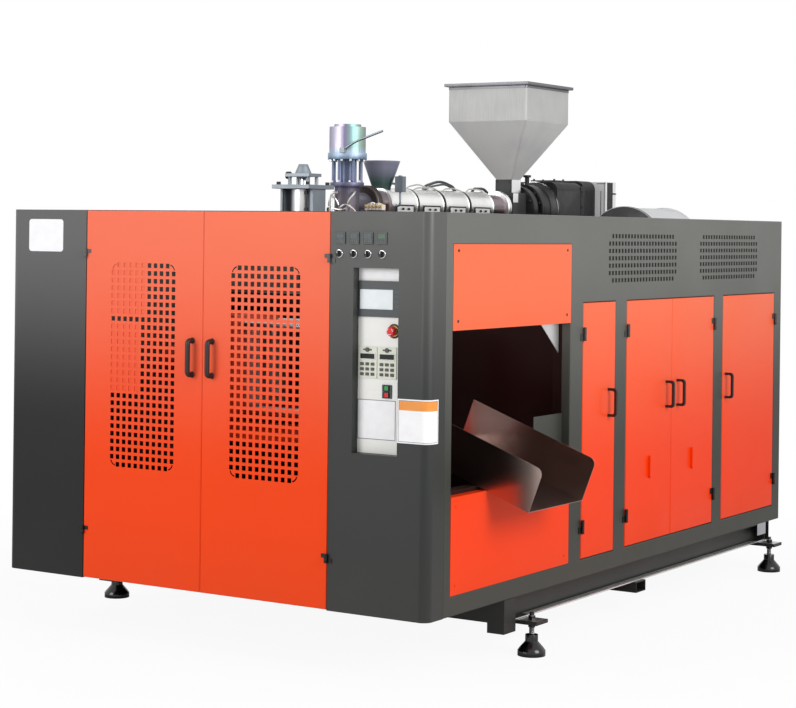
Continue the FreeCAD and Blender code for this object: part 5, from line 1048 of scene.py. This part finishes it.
stop_x, stop_z = 911.0, 1378.0
turning(
    "stop_collar_ring", (stop_x, PANEL_FACE - 2.0, stop_z), (0, -1, 0),
    [(0, 22), (1.5, 22), (3.5, 19), (5.8, 17.5), (5.8, 15.2)], 40, brass,
)
turning(
    "stop_backing_ring", (stop_x, PANEL_FACE, stop_z), (0, -1, 0),
    [(0, 29), (1.2, 29), (2.0, 28), (2.0, 15.2)], 40, tape_black,
)
GROOVE_RADIUS, GROOVE_STEP, HEAD_FACE = 13, 0.16, 4.6
arrows = bmesh.new()
for third in range(3):
    angles = [math.tau * third / 3 + step * GROOVE_STEP for step in range(7)]
    path = [
        Vector((
            stop_x + GROOVE_RADIUS * math.cos(angle), HEAD_FACE,
            stop_z + GROOVE_RADIUS * math.sin(angle),
        ))
        for angle in angles
    ]
    bent_rod(arrows, path, 1.0, 6)
piece("stop_head_grooves", arrows, label_white, "emergency_stop")
print("stop collar and button surrounds added")

# %% Controllers and selector knobs
for number in range(4):
    x, z = 676.0 + 66.0 * number, 1744.0
    framed(
        f"controller_frame_{number + 1}", (x - 24, x + 24), (z - 24, z + 24), (-5.2, -3.8),
        (x - 20, x + 20, z - 20, z + 20), instrument_abs,
    )
    lit = reading_green if number == 3 else reading_grey
    plate(
        f"controller_window_{number + 1}", (x - 18, x + 18), (z - 2, z + 17), (-4.9, -3.8),
        lit, 0.2,
    )
    keys = [
        ((x + shift - 3, x + shift + 3), (-5.3, -3.8), (z - 16, z - 10))
        for shift in (-13.5, -4.5, 4.5, 13.5)
    ]
    blocks(f"controller_keys_{number + 1}", keys, dull_key, edge=0.4)
    knob_x, knob_z = 671.0 + 68.0 * number, 1681.0
    turning(
        f"knob_ring_{number + 1}", (knob_x, 0.0, knob_z), (0, -1, 0),
        [(-0.5, 17.5), (2.0, 17.5), (3.6, 16.5), (4.5, 15), (4.5, 13.8), (0, 13.8)], 36,
        chrome,
    )
    pointer = ((knob_x - 1, knob_x + 1), (-19.0, -18.2), (knob_z + 2, knob_z + 11.5))
    blocks(
        f"knob_pointer_{number + 1}", [pointer], label_white,
        f"selector_knob_{number + 1}",
    )
print("controllers and knobs dressed: 4 of each")

# %% [markdown]
# ## Bare plates
# Such machines carry film plates with instructions. Here they stay blank: a white field with a
# thin border, one with an amber band. The right-hand one is wider than the flat of the column, so
# it follows the rounded corner, as film does.

# %% Bare plates
CORNER_RADIUS, FILM = 38.0, 0.25


def film(name, outline, up, lift, material):
    """A strip of film that follows a path of (x, y, outward x, outward y) over a sheet."""
    mesh = bmesh.new()
    rows = []
    for x, y, out_x, out_y in outline:
        rows.append([
            mesh.verts.new((x + out_x * far, y + out_y * far, z)) for far in (lift - FILM, lift)
            for z in up
        ])
    for low, high in zip(rows, rows[1:]):
        for a, b in ((0, 1), (1, 3), (3, 2), (2, 0)):
            mesh.faces.new((low[a], low[b], high[b], high[a]))
    for row in (rows[0], rows[-1]):
        mesh.faces.new((row[0], row[1], row[3], row[2]))
    piece(name, mesh, material)


def round_the_corner(start_x, length):
    """The path of a film from start_x along the front, round the corner and along the side."""
    radius = CORNER_RADIUS
    flat_end = RIGHT - radius
    path = [(start_x, 0.0, 0.0, -1.0), (flat_end, 0.0, 0.0, -1.0)]
    for step in range(1, 9):
        angle = math.pi / 2 * step / 8
        out_x, out_y = math.sin(angle), -math.cos(angle)
        path.append((flat_end + radius * out_x, radius + radius * out_y, out_x, out_y))
    rest = length - (flat_end - start_x) - radius * math.pi / 2
    path.append((RIGHT, radius + rest, 1.0, 0.0))
    return path


for name, start_x, length, up, lift, finish in (
    ("edge", 955.0, 198.0, (944.0, 1117.0), 0.4, label_white),
    ("line", 960.0, 188.0, (949.0, 1112.0), 0.6, label_grey),
    ("field", 962.0, 184.0, (951.0, 1110.0), 0.8, label_white),
    ("band", 962.0, 184.0, (1073.0, 1110.0), 1.0, label_amber),
):
    film("side_plate_" + name, round_the_corner(start_x, length), up, lift, finish)
for name, across, up, lift, finish in (
    ("border", (742.0, 922.0), (945.0, 1103.0), 0.4, label_grey),
    ("field", (745.0, 919.0), (948.0, 1100.0), 0.7, label_white),
):
    film("panel_plate_" + name, [(x, PANEL_FACE, 0.0, -1.0) for x in across], up, lift, finish)
corner_plate = bmesh.new()
slab(corner_plate, rounded_outline((-996.0, -796.0), (1666.0, 1808.0), 14.0), (-1.0, 0.0))
piece("column_plate", corner_plate, label_white, edge=0.3)
print("bare plates: 3")

# %% [markdown]
# ## Extruder barrel and its heaters
# Ceramic heater bands wrap the barrel, each under a bright sheet cover with a screwed lap and a
# window for its terminals. Black seals fill the gaps between the covers. The nitrided barrel
# shows behind the last one, browned by heat, and a woven lagging sleeve covers its front end.

# %% Heater covers
AXIS = 1900.0
BAND_START, BAND_LENGTH, BAND_PITCH = 1303.0, 235.0, 243.0
COVER_RIM, COVER_FACE, COVER_LIP = 80, 78.2, 77
LAP_ANGLE = math.radians(52)


def hex_bolt(mesh, place, direction, across_flats, height):
    """A hexagon head on a washer."""
    washer, thick = across_flats * 0.62, 1.5
    turned(mesh, place, direction, [(0, washer), (thick, washer), (thick, 0)], 16)
    base = Vector(place) + Vector(direction).normalized() * thick
    radius = across_flats / math.sqrt(3)
    profile = [(0, radius), (height - 1, radius), (height, radius * 0.86), (height, 0)]
    turned(mesh, base, direction, profile, 6)


covers, seals, lap_screws, terminals = (bmesh.new() for _ in range(4))
window_painted_shade, window_plates = [], []
for number in range(4):
    start = BAND_START + number * BAND_PITCH
    end = start + BAND_LENGTH
    turned(
        covers, (0.0, start, AXIS), (0, 1, 0),
        [
            (0, 67), (0, COVER_LIP), (1.5, COVER_RIM), (9, COVER_RIM), (11, COVER_FACE),
            (BAND_LENGTH - 11, COVER_FACE), (BAND_LENGTH - 9, COVER_RIM),
            (BAND_LENGTH - 1.5, COVER_RIM), (BAND_LENGTH, COVER_LIP), (BAND_LENGTH, 67),
        ],
        56,
    )
    out = Vector((math.cos(LAP_ANGLE), 0, math.sin(LAP_ANGLE)))
    along = Vector((-math.sin(LAP_ANGLE), 0, math.cos(LAP_ANGLE)))
    strip = [
        covers.verts.new(Vector((0, y, AXIS)) + out * r + along * w)
        for y in (start + 12, end - 12) for r in (77.5, 79.8) for w in (-9, 9)
    ]
    for loop in BLOCK_FACES:
        covers.faces.new([strip[index] for index in loop])
    for y in (start + 30, (start + end) / 2, end - 30):
        screw_head(lap_screws, Vector((0, y, AXIS)) + out * 79.8, out, 5.0, 3.5)
    if number:
        half = 6.0 if number == 1 else 10.0
        turned(
            seals, (0.0, start - 4 - half, AXIS), (0, 1, 0),
            [(0, 66), (0, 80.6), (2 * half, 80.6), (2 * half, 66)], 56,
        )
    # The black block that shows round each window plate is painted shade in the window's recess.
    window_painted_shade.append(((68.0, 81.4), (start + 36, start + 194), (1862.0, 1899.0)))
    window_plates.append(((68.0, 82.2), (start + 45, start + 185), (1860.0, 1892.0)))
    for y in (start + 90, start + 140):
        profile = [(0, 6), (4, 6), (5, 4), (8, 4), (8, 0)]
        turned(terminals, (82.0, y, 1879.0), (1, 0, 0), profile, 14)
piece("heater_covers", covers, cover_stainless, stands_for=["heater_bands"])
piece("heater_seals", seals, tape_black)
blocks("heater_window_painted_shade", window_painted_shade, tape_black, edge=1.0)
blocks("heater_window_plates", window_plates, cover_stainless, edge=1.0)
piece("heater_terminals", terminals, tape_black, edge=0.5)
piece("heater_lap_screws", lap_screws, zinc_steel)
print("heater covers drawn: 4")

# %% [markdown]
# ## Lead tubes, collars and the small box
# The heater leads run in stiff metal tubes that bridge from cover to cover, so they are bent rods
# and not loose cords. A bead along a spline would do, but a path of straight runs with rounded
# corners is how a fitter bends such a tube.

# %% Lead tubes, collars and small box
dark_tubes = (
    (7.0, (0, 1700, 1975), (0, 1722, 1996), (0, 1861, 2026), (0, 1985, 1998), (0, 2010, 1976)),
    (5.0, (6, 1702, 1975), (14, 1740, 1992), (16, 1880, 2010), (10, 1960, 1990), (6, 1990, 1976)),
    (7.0, (0, 2170, 1975), (0, 2192, 1994), (0, 2290, 1996), (0, 2330, 1975)),
    (5.5, (0, 1372, 1975), (0, 1392, 2000), (0, 1455, 2000), (0, 1480, 1975)),
)
tubing("heater_lead_tubes", dark_tubes, 60, 5, instrument_abs)
braids = (
    (3.5, (26, 1500, 1972), (24, 1530, 1988), (10, 1640, 2002), (16, 1700, 1990), (24, 1720, 1974)),
    (3.5, (30, 1560, 1970), (30, 1600, 1984), (22, 1760, 1988), (28, 1800, 1972)),
    (3.5, (36, 1820, 1969), (34, 1850, 1984), (26, 1960, 1990), (34, 2040, 1970)),
    (3.5, (20, 2080, 1974), (18, 2110, 1990), (16, 2220, 1990), (22, 2260, 1974)),
)
tubing("heater_lead_braids", braids, 50, 4, wire_sheath)
turning(
    "barrel_ring", (0.0, 2404.0, AXIS), (0, 1, 0),
    [(0, 66), (0, 86), (2, 88), (30, 88), (32, 86), (32, 66)], 56, cover_stainless,
)
turning(
    "front_lagging_sleeve", (0.0, 1176.0, AXIS), (0, 1, 0),
    [(0, 60), (0, 78), (8, 85), (38, 86), (50, 80), (56, 67)], 48, lagging,
)
sensor_box = bmesh.new()
block(sensor_box, (85.0, 128.0), (1315.0, 1345.0), (1957.0, 2031.0))
turned(sensor_box, (106.0, 1330.0, 2031.0), (0, 0, 1), [(0, 9), (4, 9), (5, 7), (5, 0)], 14)
pole = [(106, 1330, 1957), (106, 1330, 1905), (100, 1330, 1893), (78, 1330, 1890)]
bent_rod(sensor_box, rounded_path(pole, 12, 4), 5.0)
piece("pressure_sensor_box", sensor_box, ground_steel, edge=2.0)
print("lead tubes, collars and sensor box added")

# %% [markdown]
# ## Extruder screw
# The screw is hidden in the barrel. One flight winds round it, a screw diameter per turn, and its
# root grows towards the die head, which presses the melt together. The flight runs half a
# millimetre clear of the bore, so that it also clears the bore's flat facets when it turns.

# %% Extruder screw
FLIGHT_RADIUS, FLIGHT_PITCH, FLIGHT_LAND, SHANK_RADIUS = 29.5, 60.0, 6.0, 21.6
FLIGHT_STEPS = 40
screw_front, screw_rear = ((corner.y - ORIGIN.y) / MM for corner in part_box("extruder_screw"))
TIP_LENGTH, METERING, COMPRESSION, COLLAR, SHANK_LENGTH = 26.0, 380, 380, 30, 150.0
ROOT_AT_TIP, ROOT_AT_FEED, BURIED = 25.5, 20, 18.0
whole = screw_rear - screw_front
shank = whole - SHANK_LENGTH
screw = bmesh.new()
turned(
    screw, (0.0, screw_front, AXIS), (0, 1, 0),
    [
        (0, 0), (TIP_LENGTH, ROOT_AT_TIP), (TIP_LENGTH + METERING, ROOT_AT_TIP),
        (TIP_LENGTH + METERING + COMPRESSION, ROOT_AT_FEED), (shank - COLLAR, ROOT_AT_FEED),
        (shank - COLLAR, FLIGHT_RADIUS), (shank - 1, FLIGHT_RADIUS), (shank - 1, SHANK_RADIUS),
        (whole - 2, SHANK_RADIUS), (whole, SHANK_RADIUS - 2), (whole, 0),
    ],
    48,
)
turns = int((shank - COLLAR - TIP_LENGTH) / FLIGHT_PITCH)
section = (
    (BURIED, -FLIGHT_LAND / 2 - 2), (FLIGHT_RADIUS, -FLIGHT_LAND / 2),
    (FLIGHT_RADIUS, FLIGHT_LAND / 2), (BURIED, FLIGHT_LAND / 2 + 2),
)
stations = []
for step in range(turns * FLIGHT_STEPS + 1):
    angle = math.tau * step / FLIGHT_STEPS
    y = screw_front + TIP_LENGTH + 4 + FLIGHT_PITCH * step / FLIGHT_STEPS
    stations.append([
        screw.verts.new((radius * math.cos(angle), y + shift, AXIS + radius * math.sin(angle)))
        for radius, shift in section
    ])
skin(screw, stations)
for station in (stations[0], stations[-1]):
    screw.faces.new(station)
piece(
    "screw_with_flight", screw, nitrided_steel, "extruder_screw",
    stands_for=["extruder_screw"],
)
print("turns of the screw's flight:", turns)

# %% [markdown]
# ## Die head fittings
# Bolts, a lever, thin air pipes and a row of ceramic terminals crowd round the die head. They are
# what the eye reads as a heated, piped tool.

# %% Die head fittings
flange_bolts = bmesh.new()
for x, y in on_circle(12, 79):
    hex_bolt(flange_bolts, (x, DIE_AXIS_Y + y, 2100.0), (0, 0, -1), 10, 8)
    screw_head(flange_bolts, (x, DIE_AXIS_Y + y, 2130.0), (0, 0, 1), 4.0, 5.0)
for x, y in on_circle(8, 69, 0):
    hex_bolt(flange_bolts, (x, DIE_AXIS_Y + y, 1995.0), (0, 0, 1), 10, 8)
piece("die_flange_bolts", flange_bolts, chrome)
lever = bmesh.new()
run = ((28, 960, 2140), (60, 962, 2160), (96, 966, 2180), (232, 980, 2226))
bent_rod(lever, rounded_path(run, 30, 4), 5.5)
block(lever, (16.0, 42.0), (950.0, 978.0), (2128.0, 2152.0))
piece("die_lever", lever, ground_steel, edge=1.0)
pipes = (
    (5.0, (-60, 985, 1852), (-56, 975, 1905), (-40, 972, 1935), (-18, 975, 1918), (-10, 985, 1890)),
    (7.0, (-34, 960, 1852), (-34, 958, 1925), (-30, 960, 1945), (-14, 985, 1950)),
    (5.0, (0, 978, 1860), (14, 965, 1880), (46, 965, 1896), (72, 985, 1872), (84, 1000, 1850)),
    (4.5, (-80, 1000, 1856), (-62, 972, 1884), (-20, 966, 1872), (30, 968, 1866), (52, 990, 1890)),
    (4.5, (40, 975, 1850), (58, 968, 1910), (74, 980, 1936), (64, 1010, 1952)),
    (
        4.5, (92, 1060, 1850), (110, 1052, 1890), (134, 1056, 1906), (150, 1070, 1880),
        (152, 1080, 1850),
    ),
)
tubing("die_air_pipes", pipes, 22, 4, cover_stainless)
rail = ((50.0, 192.0), (1064.0, 1072.0), (1850.0, 1870.0))
blocks("die_terminal_rail", [rail], ground_steel, edge=1.0)
terminal_blocks = []
screws = bmesh.new()
for step in range(5):
    x, top = 102.0 + step * 20.0, 1894.0 + 6 * (step % 2)
    terminal_blocks.append(((x - 8, x + 8), (1046.0, 1076.0), (1868.0, top)))
    screw_head(screws, (x, 1046.0, 1884.0), (0, -1, 0), 5.0, 4.0)
    screw_head(screws, (x, 1060.0, top), (0, 0, 1), 5.0, 5.0)
blocks("die_terminal_blocks", terminal_blocks, ceramic, edge=1.5)
piece("die_terminal_screws", screws, brass)
print("die head fittings: bolts, lever, 6 pipes, 5 terminals")

# %% [markdown]
# ## Feed hopper
# The hopper is folded from satin stainless sheet: a square straight part on a steep taper, with
# small bend radii at the corners, a seam where the two meet and an edge angle under the lid. It is
# lofted from rounded squares, one for each height, outside and inside.

# %% Feed hopper
HOPPER_CENTRE = 2546.0


def loft(mesh, levels):
    """Skin over closed outlines at several heights, given as (z, half size, corner radius)."""
    rings = []
    for z, half, radius in levels:
        square = rounded_outline((-half, half), (-half, half), radius, 5)
        rings.append([mesh.verts.new((x, HOPPER_CENTRE + y, z)) for x, y in square])
    skin(mesh, rings + rings[:1])


# The taper takes the lighter copy of the stainless, which is painted light.
taper = bmesh.new()
loft(taper, [
    (2050.0, 48.0, 6.0), (2056.0, 50.6, 6.0), (2343.0, 231.5, 14.0), (2347.0, 232.5, 14.0),
    (2347.0, 229.5, 11.0), (2050.0, 45.0, 3.0),
])
piece("hopper_taper", taper, cone_stainless_painted_lighter, stands_for=["feed_hopper"], sharp=25)
straight = bmesh.new()
loft(straight, [
    (2346.6, 232.6, 14.0), (2530.0, 232.5, 14.0), (2530.0, 229.5, 11.0), (2346.6, 229.5, 11.0),
])
piece("hopper_straight", straight, hopper_stainless, sharp=25)
rim = bmesh.new()
loft(rim, [
    (2527.0, 233.0, 12.0), (2527.0, 248.5, 4.0), (2530.0, 248.5, 4.0), (2530.0, 229.0, 12.0),
    (2512.0, 229.0, 12.0), (2512.0, 234.0, 14.0), (2524.0, 234.0, 14.0),
])
for ear in ((-68.0, -60.0), (60.0, 68.0)):
    block(rim, ear, (2794.5, 2807.5), (2527.0, 2544.3))
turned(rim, (-60.0, 2800.5, 2537.3), (1, 0, 0), [(0, 3.5), (120, 3.5), (120, 0)], 16)
piece("hopper_rim", rim, hopper_edge, edge=0.5)
# The dark screwed plate on the neck's front face is painted shade: it darkens the face that gets
# less light than the neck's side.
front_painted_shade = bmesh.new()
block(front_painted_shade, (-48.4, 44.0), (2496.6, 2498.2), (1981.0, 2049.0))
for x, z in product((-38.0, 38.0), (1992.0, 2038.0)):
    screw_head(front_painted_shade, (x, 2496.6, z), (0, -1, 0), 5.0, 4.0)
piece("hopper_front_painted_shade_plate", front_painted_shade, drive_enamel, edge=0.5)
# Bright stainless strips on the neck's right faces are a painted highlight on its lit side.
lit_side_highlights = (
    ((47.8, 48.8), (2500.0, 2592.0), (1981.0, 2049.0)),
    ((69.8, 70.6), (2478.0, 2530.0), (1930.0, 1978.0)),
)
blocks("hopper_neck_painted_highlight", lit_side_highlights, cover_stainless, edge=0.4)
print("hopper lofted, bend radius 14 mm")

# %% [markdown]
# ## Gearbox and motor
# The gearbox is a turned iron drum, bolted to the barrel's flange, with a bell that carries the
# motor. The motor is a smooth square frame with a cowl over its fan. Turned rings, hexagon heads
# and a plate with rounded corners are all that the castings still need.

# %% Gearbox details
bolts = bmesh.new()
for x, z in on_circle(12, 113):
    hex_bolt(bolts, (x, 2692.0, AXIS + z), (0, -1, 0), 15, 10)
for front, rear in zip(on_circle(8, 102), on_circle(8, 136)):
    hex_bolt(bolts, (front[0], 2616.0, AXIS + front[1]), (0, -1, 0), 13, 8)
    hex_bolt(bolts, (rear[0], 2830.0, AXIS + rear[1]), (0, -1, 0), 13, 8)
piece("gearbox_bolts", bolts, drive_enamel)
rings = bmesh.new()
collar = [(0, 122), (0, 128), (1.5, 131), (7, 131), (7, 128)]
turned(rings, (0.0, 2690.5, AXIS), (0, 1, 0), collar, 64)
turned(rings, (0.0, 2776.0, AXIS), (0, 1, 0), [(0, 129), (0, 132), (8, 132), (8, 129)], 64)
piece("gearbox_bands", rings, drive_enamel)
turning(
    "bell_machined_edge", (0.0, 2824.0, AXIS), (0, 1, 0),
    [(0, 143), (0, 148.6), (6, 149), (6, 143)], 64, machined_steel,
)
print("gearbox dressed with 28 bolts")

# %% Motor details
STRIP_BACK, STRIP_FACE = 139.0, 142.0
strip = bmesh.new()
outline = rounded_outline((3100.0, 3126.0), (1800.0, 2030.0), 10.0)
slab(strip, outline, (RIGHT - STRIP_FACE, RIGHT - STRIP_BACK), on_side)
for up in (1830.0, 1915.0, 2000.0):
    screw_head(strip, (STRIP_FACE, 3113.0, up), (1, 0, 0), 6.0, 4.0)
piece("motor_side_strip", strip, tape_black, edge=0.6)
slots = [((138.5, 141.2), (y, y + 7.0), (1810.0, 2010.0)) for y in range(3150, 3247, 16)]
blocks("motor_cowl_slots", slots, tape_black, edge=0.3)
guard = bmesh.new()
for radius in (28, 48, 68, 88, 108):
    wire = ((0, -2.5), (0, 2.5), (5, 1.5), (5, -1.5), (0, -2.5))
    profile = [(deep, radius + out) for deep, out in wire]
    turned(guard, (0.0, 3272.0, AXIS), (0, 1, 0), profile, 40)
for x, z in on_circle(8, 1.0, 0):
    ends = [Vector((0, 3275, AXIS)) + Vector((x, 0, z)) * reach for reach in (20, 112)]
    bent_rod(guard, ends, 2.5, 6)
piece("motor_fan_guard", guard, drive_enamel)
lid_screws = bmesh.new()
for x, y in product((-62.0, 62.0), (2940.0, 3042.0)):
    hex_bolt(lid_screws, (x, y, 2058.0), (0, 0, 1), 10, 6)
piece("motor_cover_screws", lid_screws, drive_enamel)
print("motor dressed")

# %% Motor terminal box
BOX_FRONT = (3269.8, 3271.0)
shell = ((-1.2, 206.2), (3270.6, 3393.2), (1838.8, 2057.2))
blocks("terminal_box_shell", [shell], label_white, edge=2.5)
trim = (
    ((174.5, 178.0), BOX_FRONT, (1842.0, 2008.0)),
    ((196.0, 198.5), BOX_FRONT, (1842.0, 2052.0)),
    ((205.0, 207.4), (3286.0, 3353.0), (1850.0, 2054.0)),
    ((150.0, 204.0), BOX_FRONT, (2046.0, 2049.5)),
    ((205.0, 210.5), (3350.0, 3390.0), (1902.0, 1909.0)),
    ((205.0, 210.5), (3350.0, 3390.0), (1990.0, 1997.0)),
)
blocks("terminal_box_trim", trim, tape_black, edge=0.4)
turning(
    "terminal_box_gland", (206.0, 3370.0, 1868.0), (1, 0, 0),
    [(0, 15), (6, 15), (8, 12), (20, 11), (22, 8), (22, 0)], 20, label_white,
)
print("terminal box dressed")

# %% [markdown]
# ## Air tank
# A rolled drum with a dished, black painted end stores the blowing air. The weld collar where the
# end meets the drum and the port in its middle are what tell a tank from a pipe.

# %% Air tank details
TANK_END = (500.0, 2884.0, 1697.0)
tank = bmesh.new()
turned(
    tank, TANK_END, (0, 1, 0),
    [(0, 22), (2, 90), (7, 150), (12, 195), (15, 216), (17, 221.8), (34, 221.8), (34, 215)], 64,
)
turned(tank, TANK_END, (0, -1, 0), [(-1, 34), (6, 34), (8, 26), (26, 26), (26, 0)], 24)
piece("tank_black_end", tank, drive_enamel, edge=0.8)
print("tank end added")

# %% [markdown]
# ## Blow station dressing
# The blow cylinder is a honed, chromed tube between two ground plates, held by slim tie rods. At
# this size the tube mirrors the white room, so it shows mostly by its dark rods and ports.

# %% Blow station dressing
BLOW_Y = 690.0
turning(
    "blow_cylinder_tube", (0.0, BLOW_Y, 1852.0), (0, 0, 1),
    [(0, 50), (0, 52.6), (102, 52.6), (102, 50)], 48, bright_tube,
)
rods = bmesh.new()
for x, y in product((-62.0, 62.0), repeat=2):
    bent_rod(rods, [Vector((x, BLOW_Y + y, z)) for z in (1850.0, 1956.0)], 5.0, 12)
for x, y in product((-78.0, 78.0), repeat=2):
    hex_bolt(rods, (x, BLOW_Y + y, 1974.0), (0, 0, 1), 17, 12)
knob = [(0, 12), (4, 12), (6, 17), (22, 17), (26, 12), (26, 0)]
turned(rods, (-66.0, BLOW_Y, 2018.0), (-1, 0, 0), knob, 20)
port = [(0, 9), (14, 9), (15, 6), (22, 6), (22, 0)]
for z in (1866.0, 1940.0):
    turned(rods, (40.0, BLOW_Y - 34.0, z), (0.76, -0.65, 0), port, 14)
piece("blow_cylinder_rods", rods, drive_enamel)
print("blow cylinder: tube, 4 rods, 4 bolts, 2 ports")

# %% [markdown]
# ## Base fittings and the outlet's corner
# The threads of the levelling feet, a junction plate on the rail and the small gusset in the
# outlet window are the last bright spots that a fitter would see on the lower half.

# %% Base fittings
RAIL_FLOOR = 158.0
FOOT_X, FOOT_ROWS, THREAD_PITCH = 1135.0, (785.0, 3385.0), 4.0
threads = bmesh.new()
thread = [(0, 10.0)]
for rise in range(7):
    thread += [(1.0 + rise * THREAD_PITCH, 10.1), (3.0 + rise * THREAD_PITCH, 11.6)]
thread += [(29.5, 10.0)]
for x, y in product((-FOOT_X, FOOT_X), FOOT_ROWS):
    turned(threads, (x, y, 88.5), (0, 0, 1), thread, 16)
    turned(threads, (x, y, 166.0), (0, 0, 1), [(0, 12.5), (1.5, 12.5), (2.0, 10.2)], 20)
piece("foot_threads", threads, zinc_steel)
rail_plate = ((1084.5, 1088.0), (3340.0, 3450.0), (186.0, 249.0))
blocks("rail_junction_plate", [rail_plate], zinc_steel, edge=1.0)
gusset = bmesh.new()
corners = ((979.0, 1380.0), (1142.0, 1380.0), (1142.0, 1250.0))
slab(gusset, corners, (RIGHT - 1052.0, RIGHT - 1056.0), on_side)
piece("outlet_gusset", gusset, cover_stainless, edge=0.5)
flanges, plates, caps = [], [], []
for side in (-1, 1):
    across = [sorted((side * near, side * far)) for near, far in (
        (1056.0, 1084.8), (1085.0, 1086.0), (1090.0, 1180.0), (1094.0, 1099.0)
    )]
    flanges.append((across[0], (845.0, 3330.0), (RAIL_FLOOR, RAIL_FLOOR + 0.8)))
    flanges.append((across[1], (724.0, 3430.0), (151.0, RAIL_FLOOR - 2.0)))
    plates += [(across[2], (y - 44.0, y + 44.0), (150.0, 150.8)) for y in FOOT_ROWS]
    caps += [(across[3], (613.0, 711.0), up) for up in ((151.0, 249.0), (109.0, 149.0))]
blocks("rail_bright_flanges", flanges, cover_stainless)
blocks("foot_plate_wear", plates, zinc_steel, edge=0.2)
blocks("beam_end_caps", caps, base_coat, edge=1.0)
print("base fittings added")

# %% [markdown]
# ## Studio
# The machine stands on a pale seamless floor. Two large soft boxes and a white surround light it
# at a level where a colour renders about as written. The surround and the floor look white to the
# camera and in reflections, while the floor still takes the machine's shadow.

# %% Floor, surround and lamps
MACHINE_MIDDLE = (0.0, 1800.0, 1000.0)
FADE_START, FADE_END, FLOOR_LIFT = 2.0, 3.8, 0.93
floor_mesh = bmesh.new()
for corner in ((-30000, -30000), (30000, -30000), (30000, 30000), (-30000, 30000)):
    floor_mesh.verts.new((*corner, 0.0))
floor_mesh.faces.new(floor_mesh.verts[:])
floor_mesh.transform(DRAWING_TO_FRAME)
floor_data = bpy.data.meshes.new("studio_floor")
floor_mesh.to_mesh(floor_data)
floor_mesh.free()
floor = bpy.data.objects.new("studio_floor", floor_data)
bpy.context.scene.collection.objects.link(floor)
floor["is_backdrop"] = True

floor_paint, tree, place = begin_material("studio_floor_paper")
rays = add_node(tree, "ShaderNodeLightPath")
middle = DRAWING_TO_FRAME @ Vector(MACHINE_MIDDLE)
away = add_node(
    tree, "ShaderNodeVectorMath", {"operation": "DISTANCE", 1: (middle.x, middle.y, 0.0)},
    {0: place},
)
fade = ranged(tree, away.outputs["Value"], FADE_START, FADE_END, FLOOR_LIFT, 1.0)
paper = add_node(tree, "ShaderNodeBsdfDiffuse", {"Color": linear("#EDEDED")})
white = add_node(tree, "ShaderNodeEmission")
blend = add_node(
    tree, "ShaderNodeMixShader", {}, {0: fade, 1: paper.outputs[0], 2: white.outputs[0]}
)
shown = add_node(
    tree, "ShaderNodeMixShader", {},
    {0: rays.outputs["Is Camera Ray"], 1: paper.outputs[0], 2: blend.outputs[0]},
)
finish_material(tree, shown)
floor_data.materials.append(floor_paint)

world = bpy.data.worlds.new("studio_surround")
bpy.context.scene.world = world
world.use_nodes = True
tree = world.node_tree
tree.nodes.clear()
rays = add_node(tree, "ShaderNodeLightPath").outputs
seen = arithmetic(tree, "MAXIMUM", rays["Is Camera Ray"], rays["Is Glossy Ray"])
seen = arithmetic(tree, "MAXIMUM", seen, rays["Is Transmission Ray"])
AMBIENT, SOFT_BOX_SIZE = 0.45, 4500
surround = add_node(
    tree, "ShaderNodeBackground", {"Color": (1, 1, 1, 1)},
    {"Strength": ranged(tree, seen, 0.0, 1.0, AMBIENT, 1.0)},
)
add_node(tree, "ShaderNodeOutputWorld", links={"Surface": surround.outputs[0]})


def soft_box(name, place, power):
    """A square soft box at a place in machine millimetres, facing the machine."""
    lamp = bpy.data.lights.new(name, "AREA")
    lamp.size = SOFT_BOX_SIZE * MM
    lamp.energy = power
    holder = bpy.data.objects.new(name, lamp)
    bpy.context.scene.collection.objects.link(holder)
    start, end = DRAWING_TO_FRAME @ Vector(place), DRAWING_TO_FRAME @ Vector(MACHINE_MIDDLE)
    holder.location = start
    holder.rotation_euler = (end - start).to_track_quat("-Z", "Y").to_euler()


soft_box("soft_box_left", (-3500, -7500, 4200), 380)
soft_box("soft_box_right", (8500, -500, 4600), 520)
bpy.context.scene.view_settings.view_transform = "Standard"
print("lamps: 2 soft boxes and a white surround of", AMBIENT)

# %% [markdown]
# ## Size of the dressed machine
# The size of the dressed machine is printed in millimetres.

# %% Print the size
low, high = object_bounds()
print("dressed size in mm:", [round((b - a) / MM) for a, b in zip(low, high)])
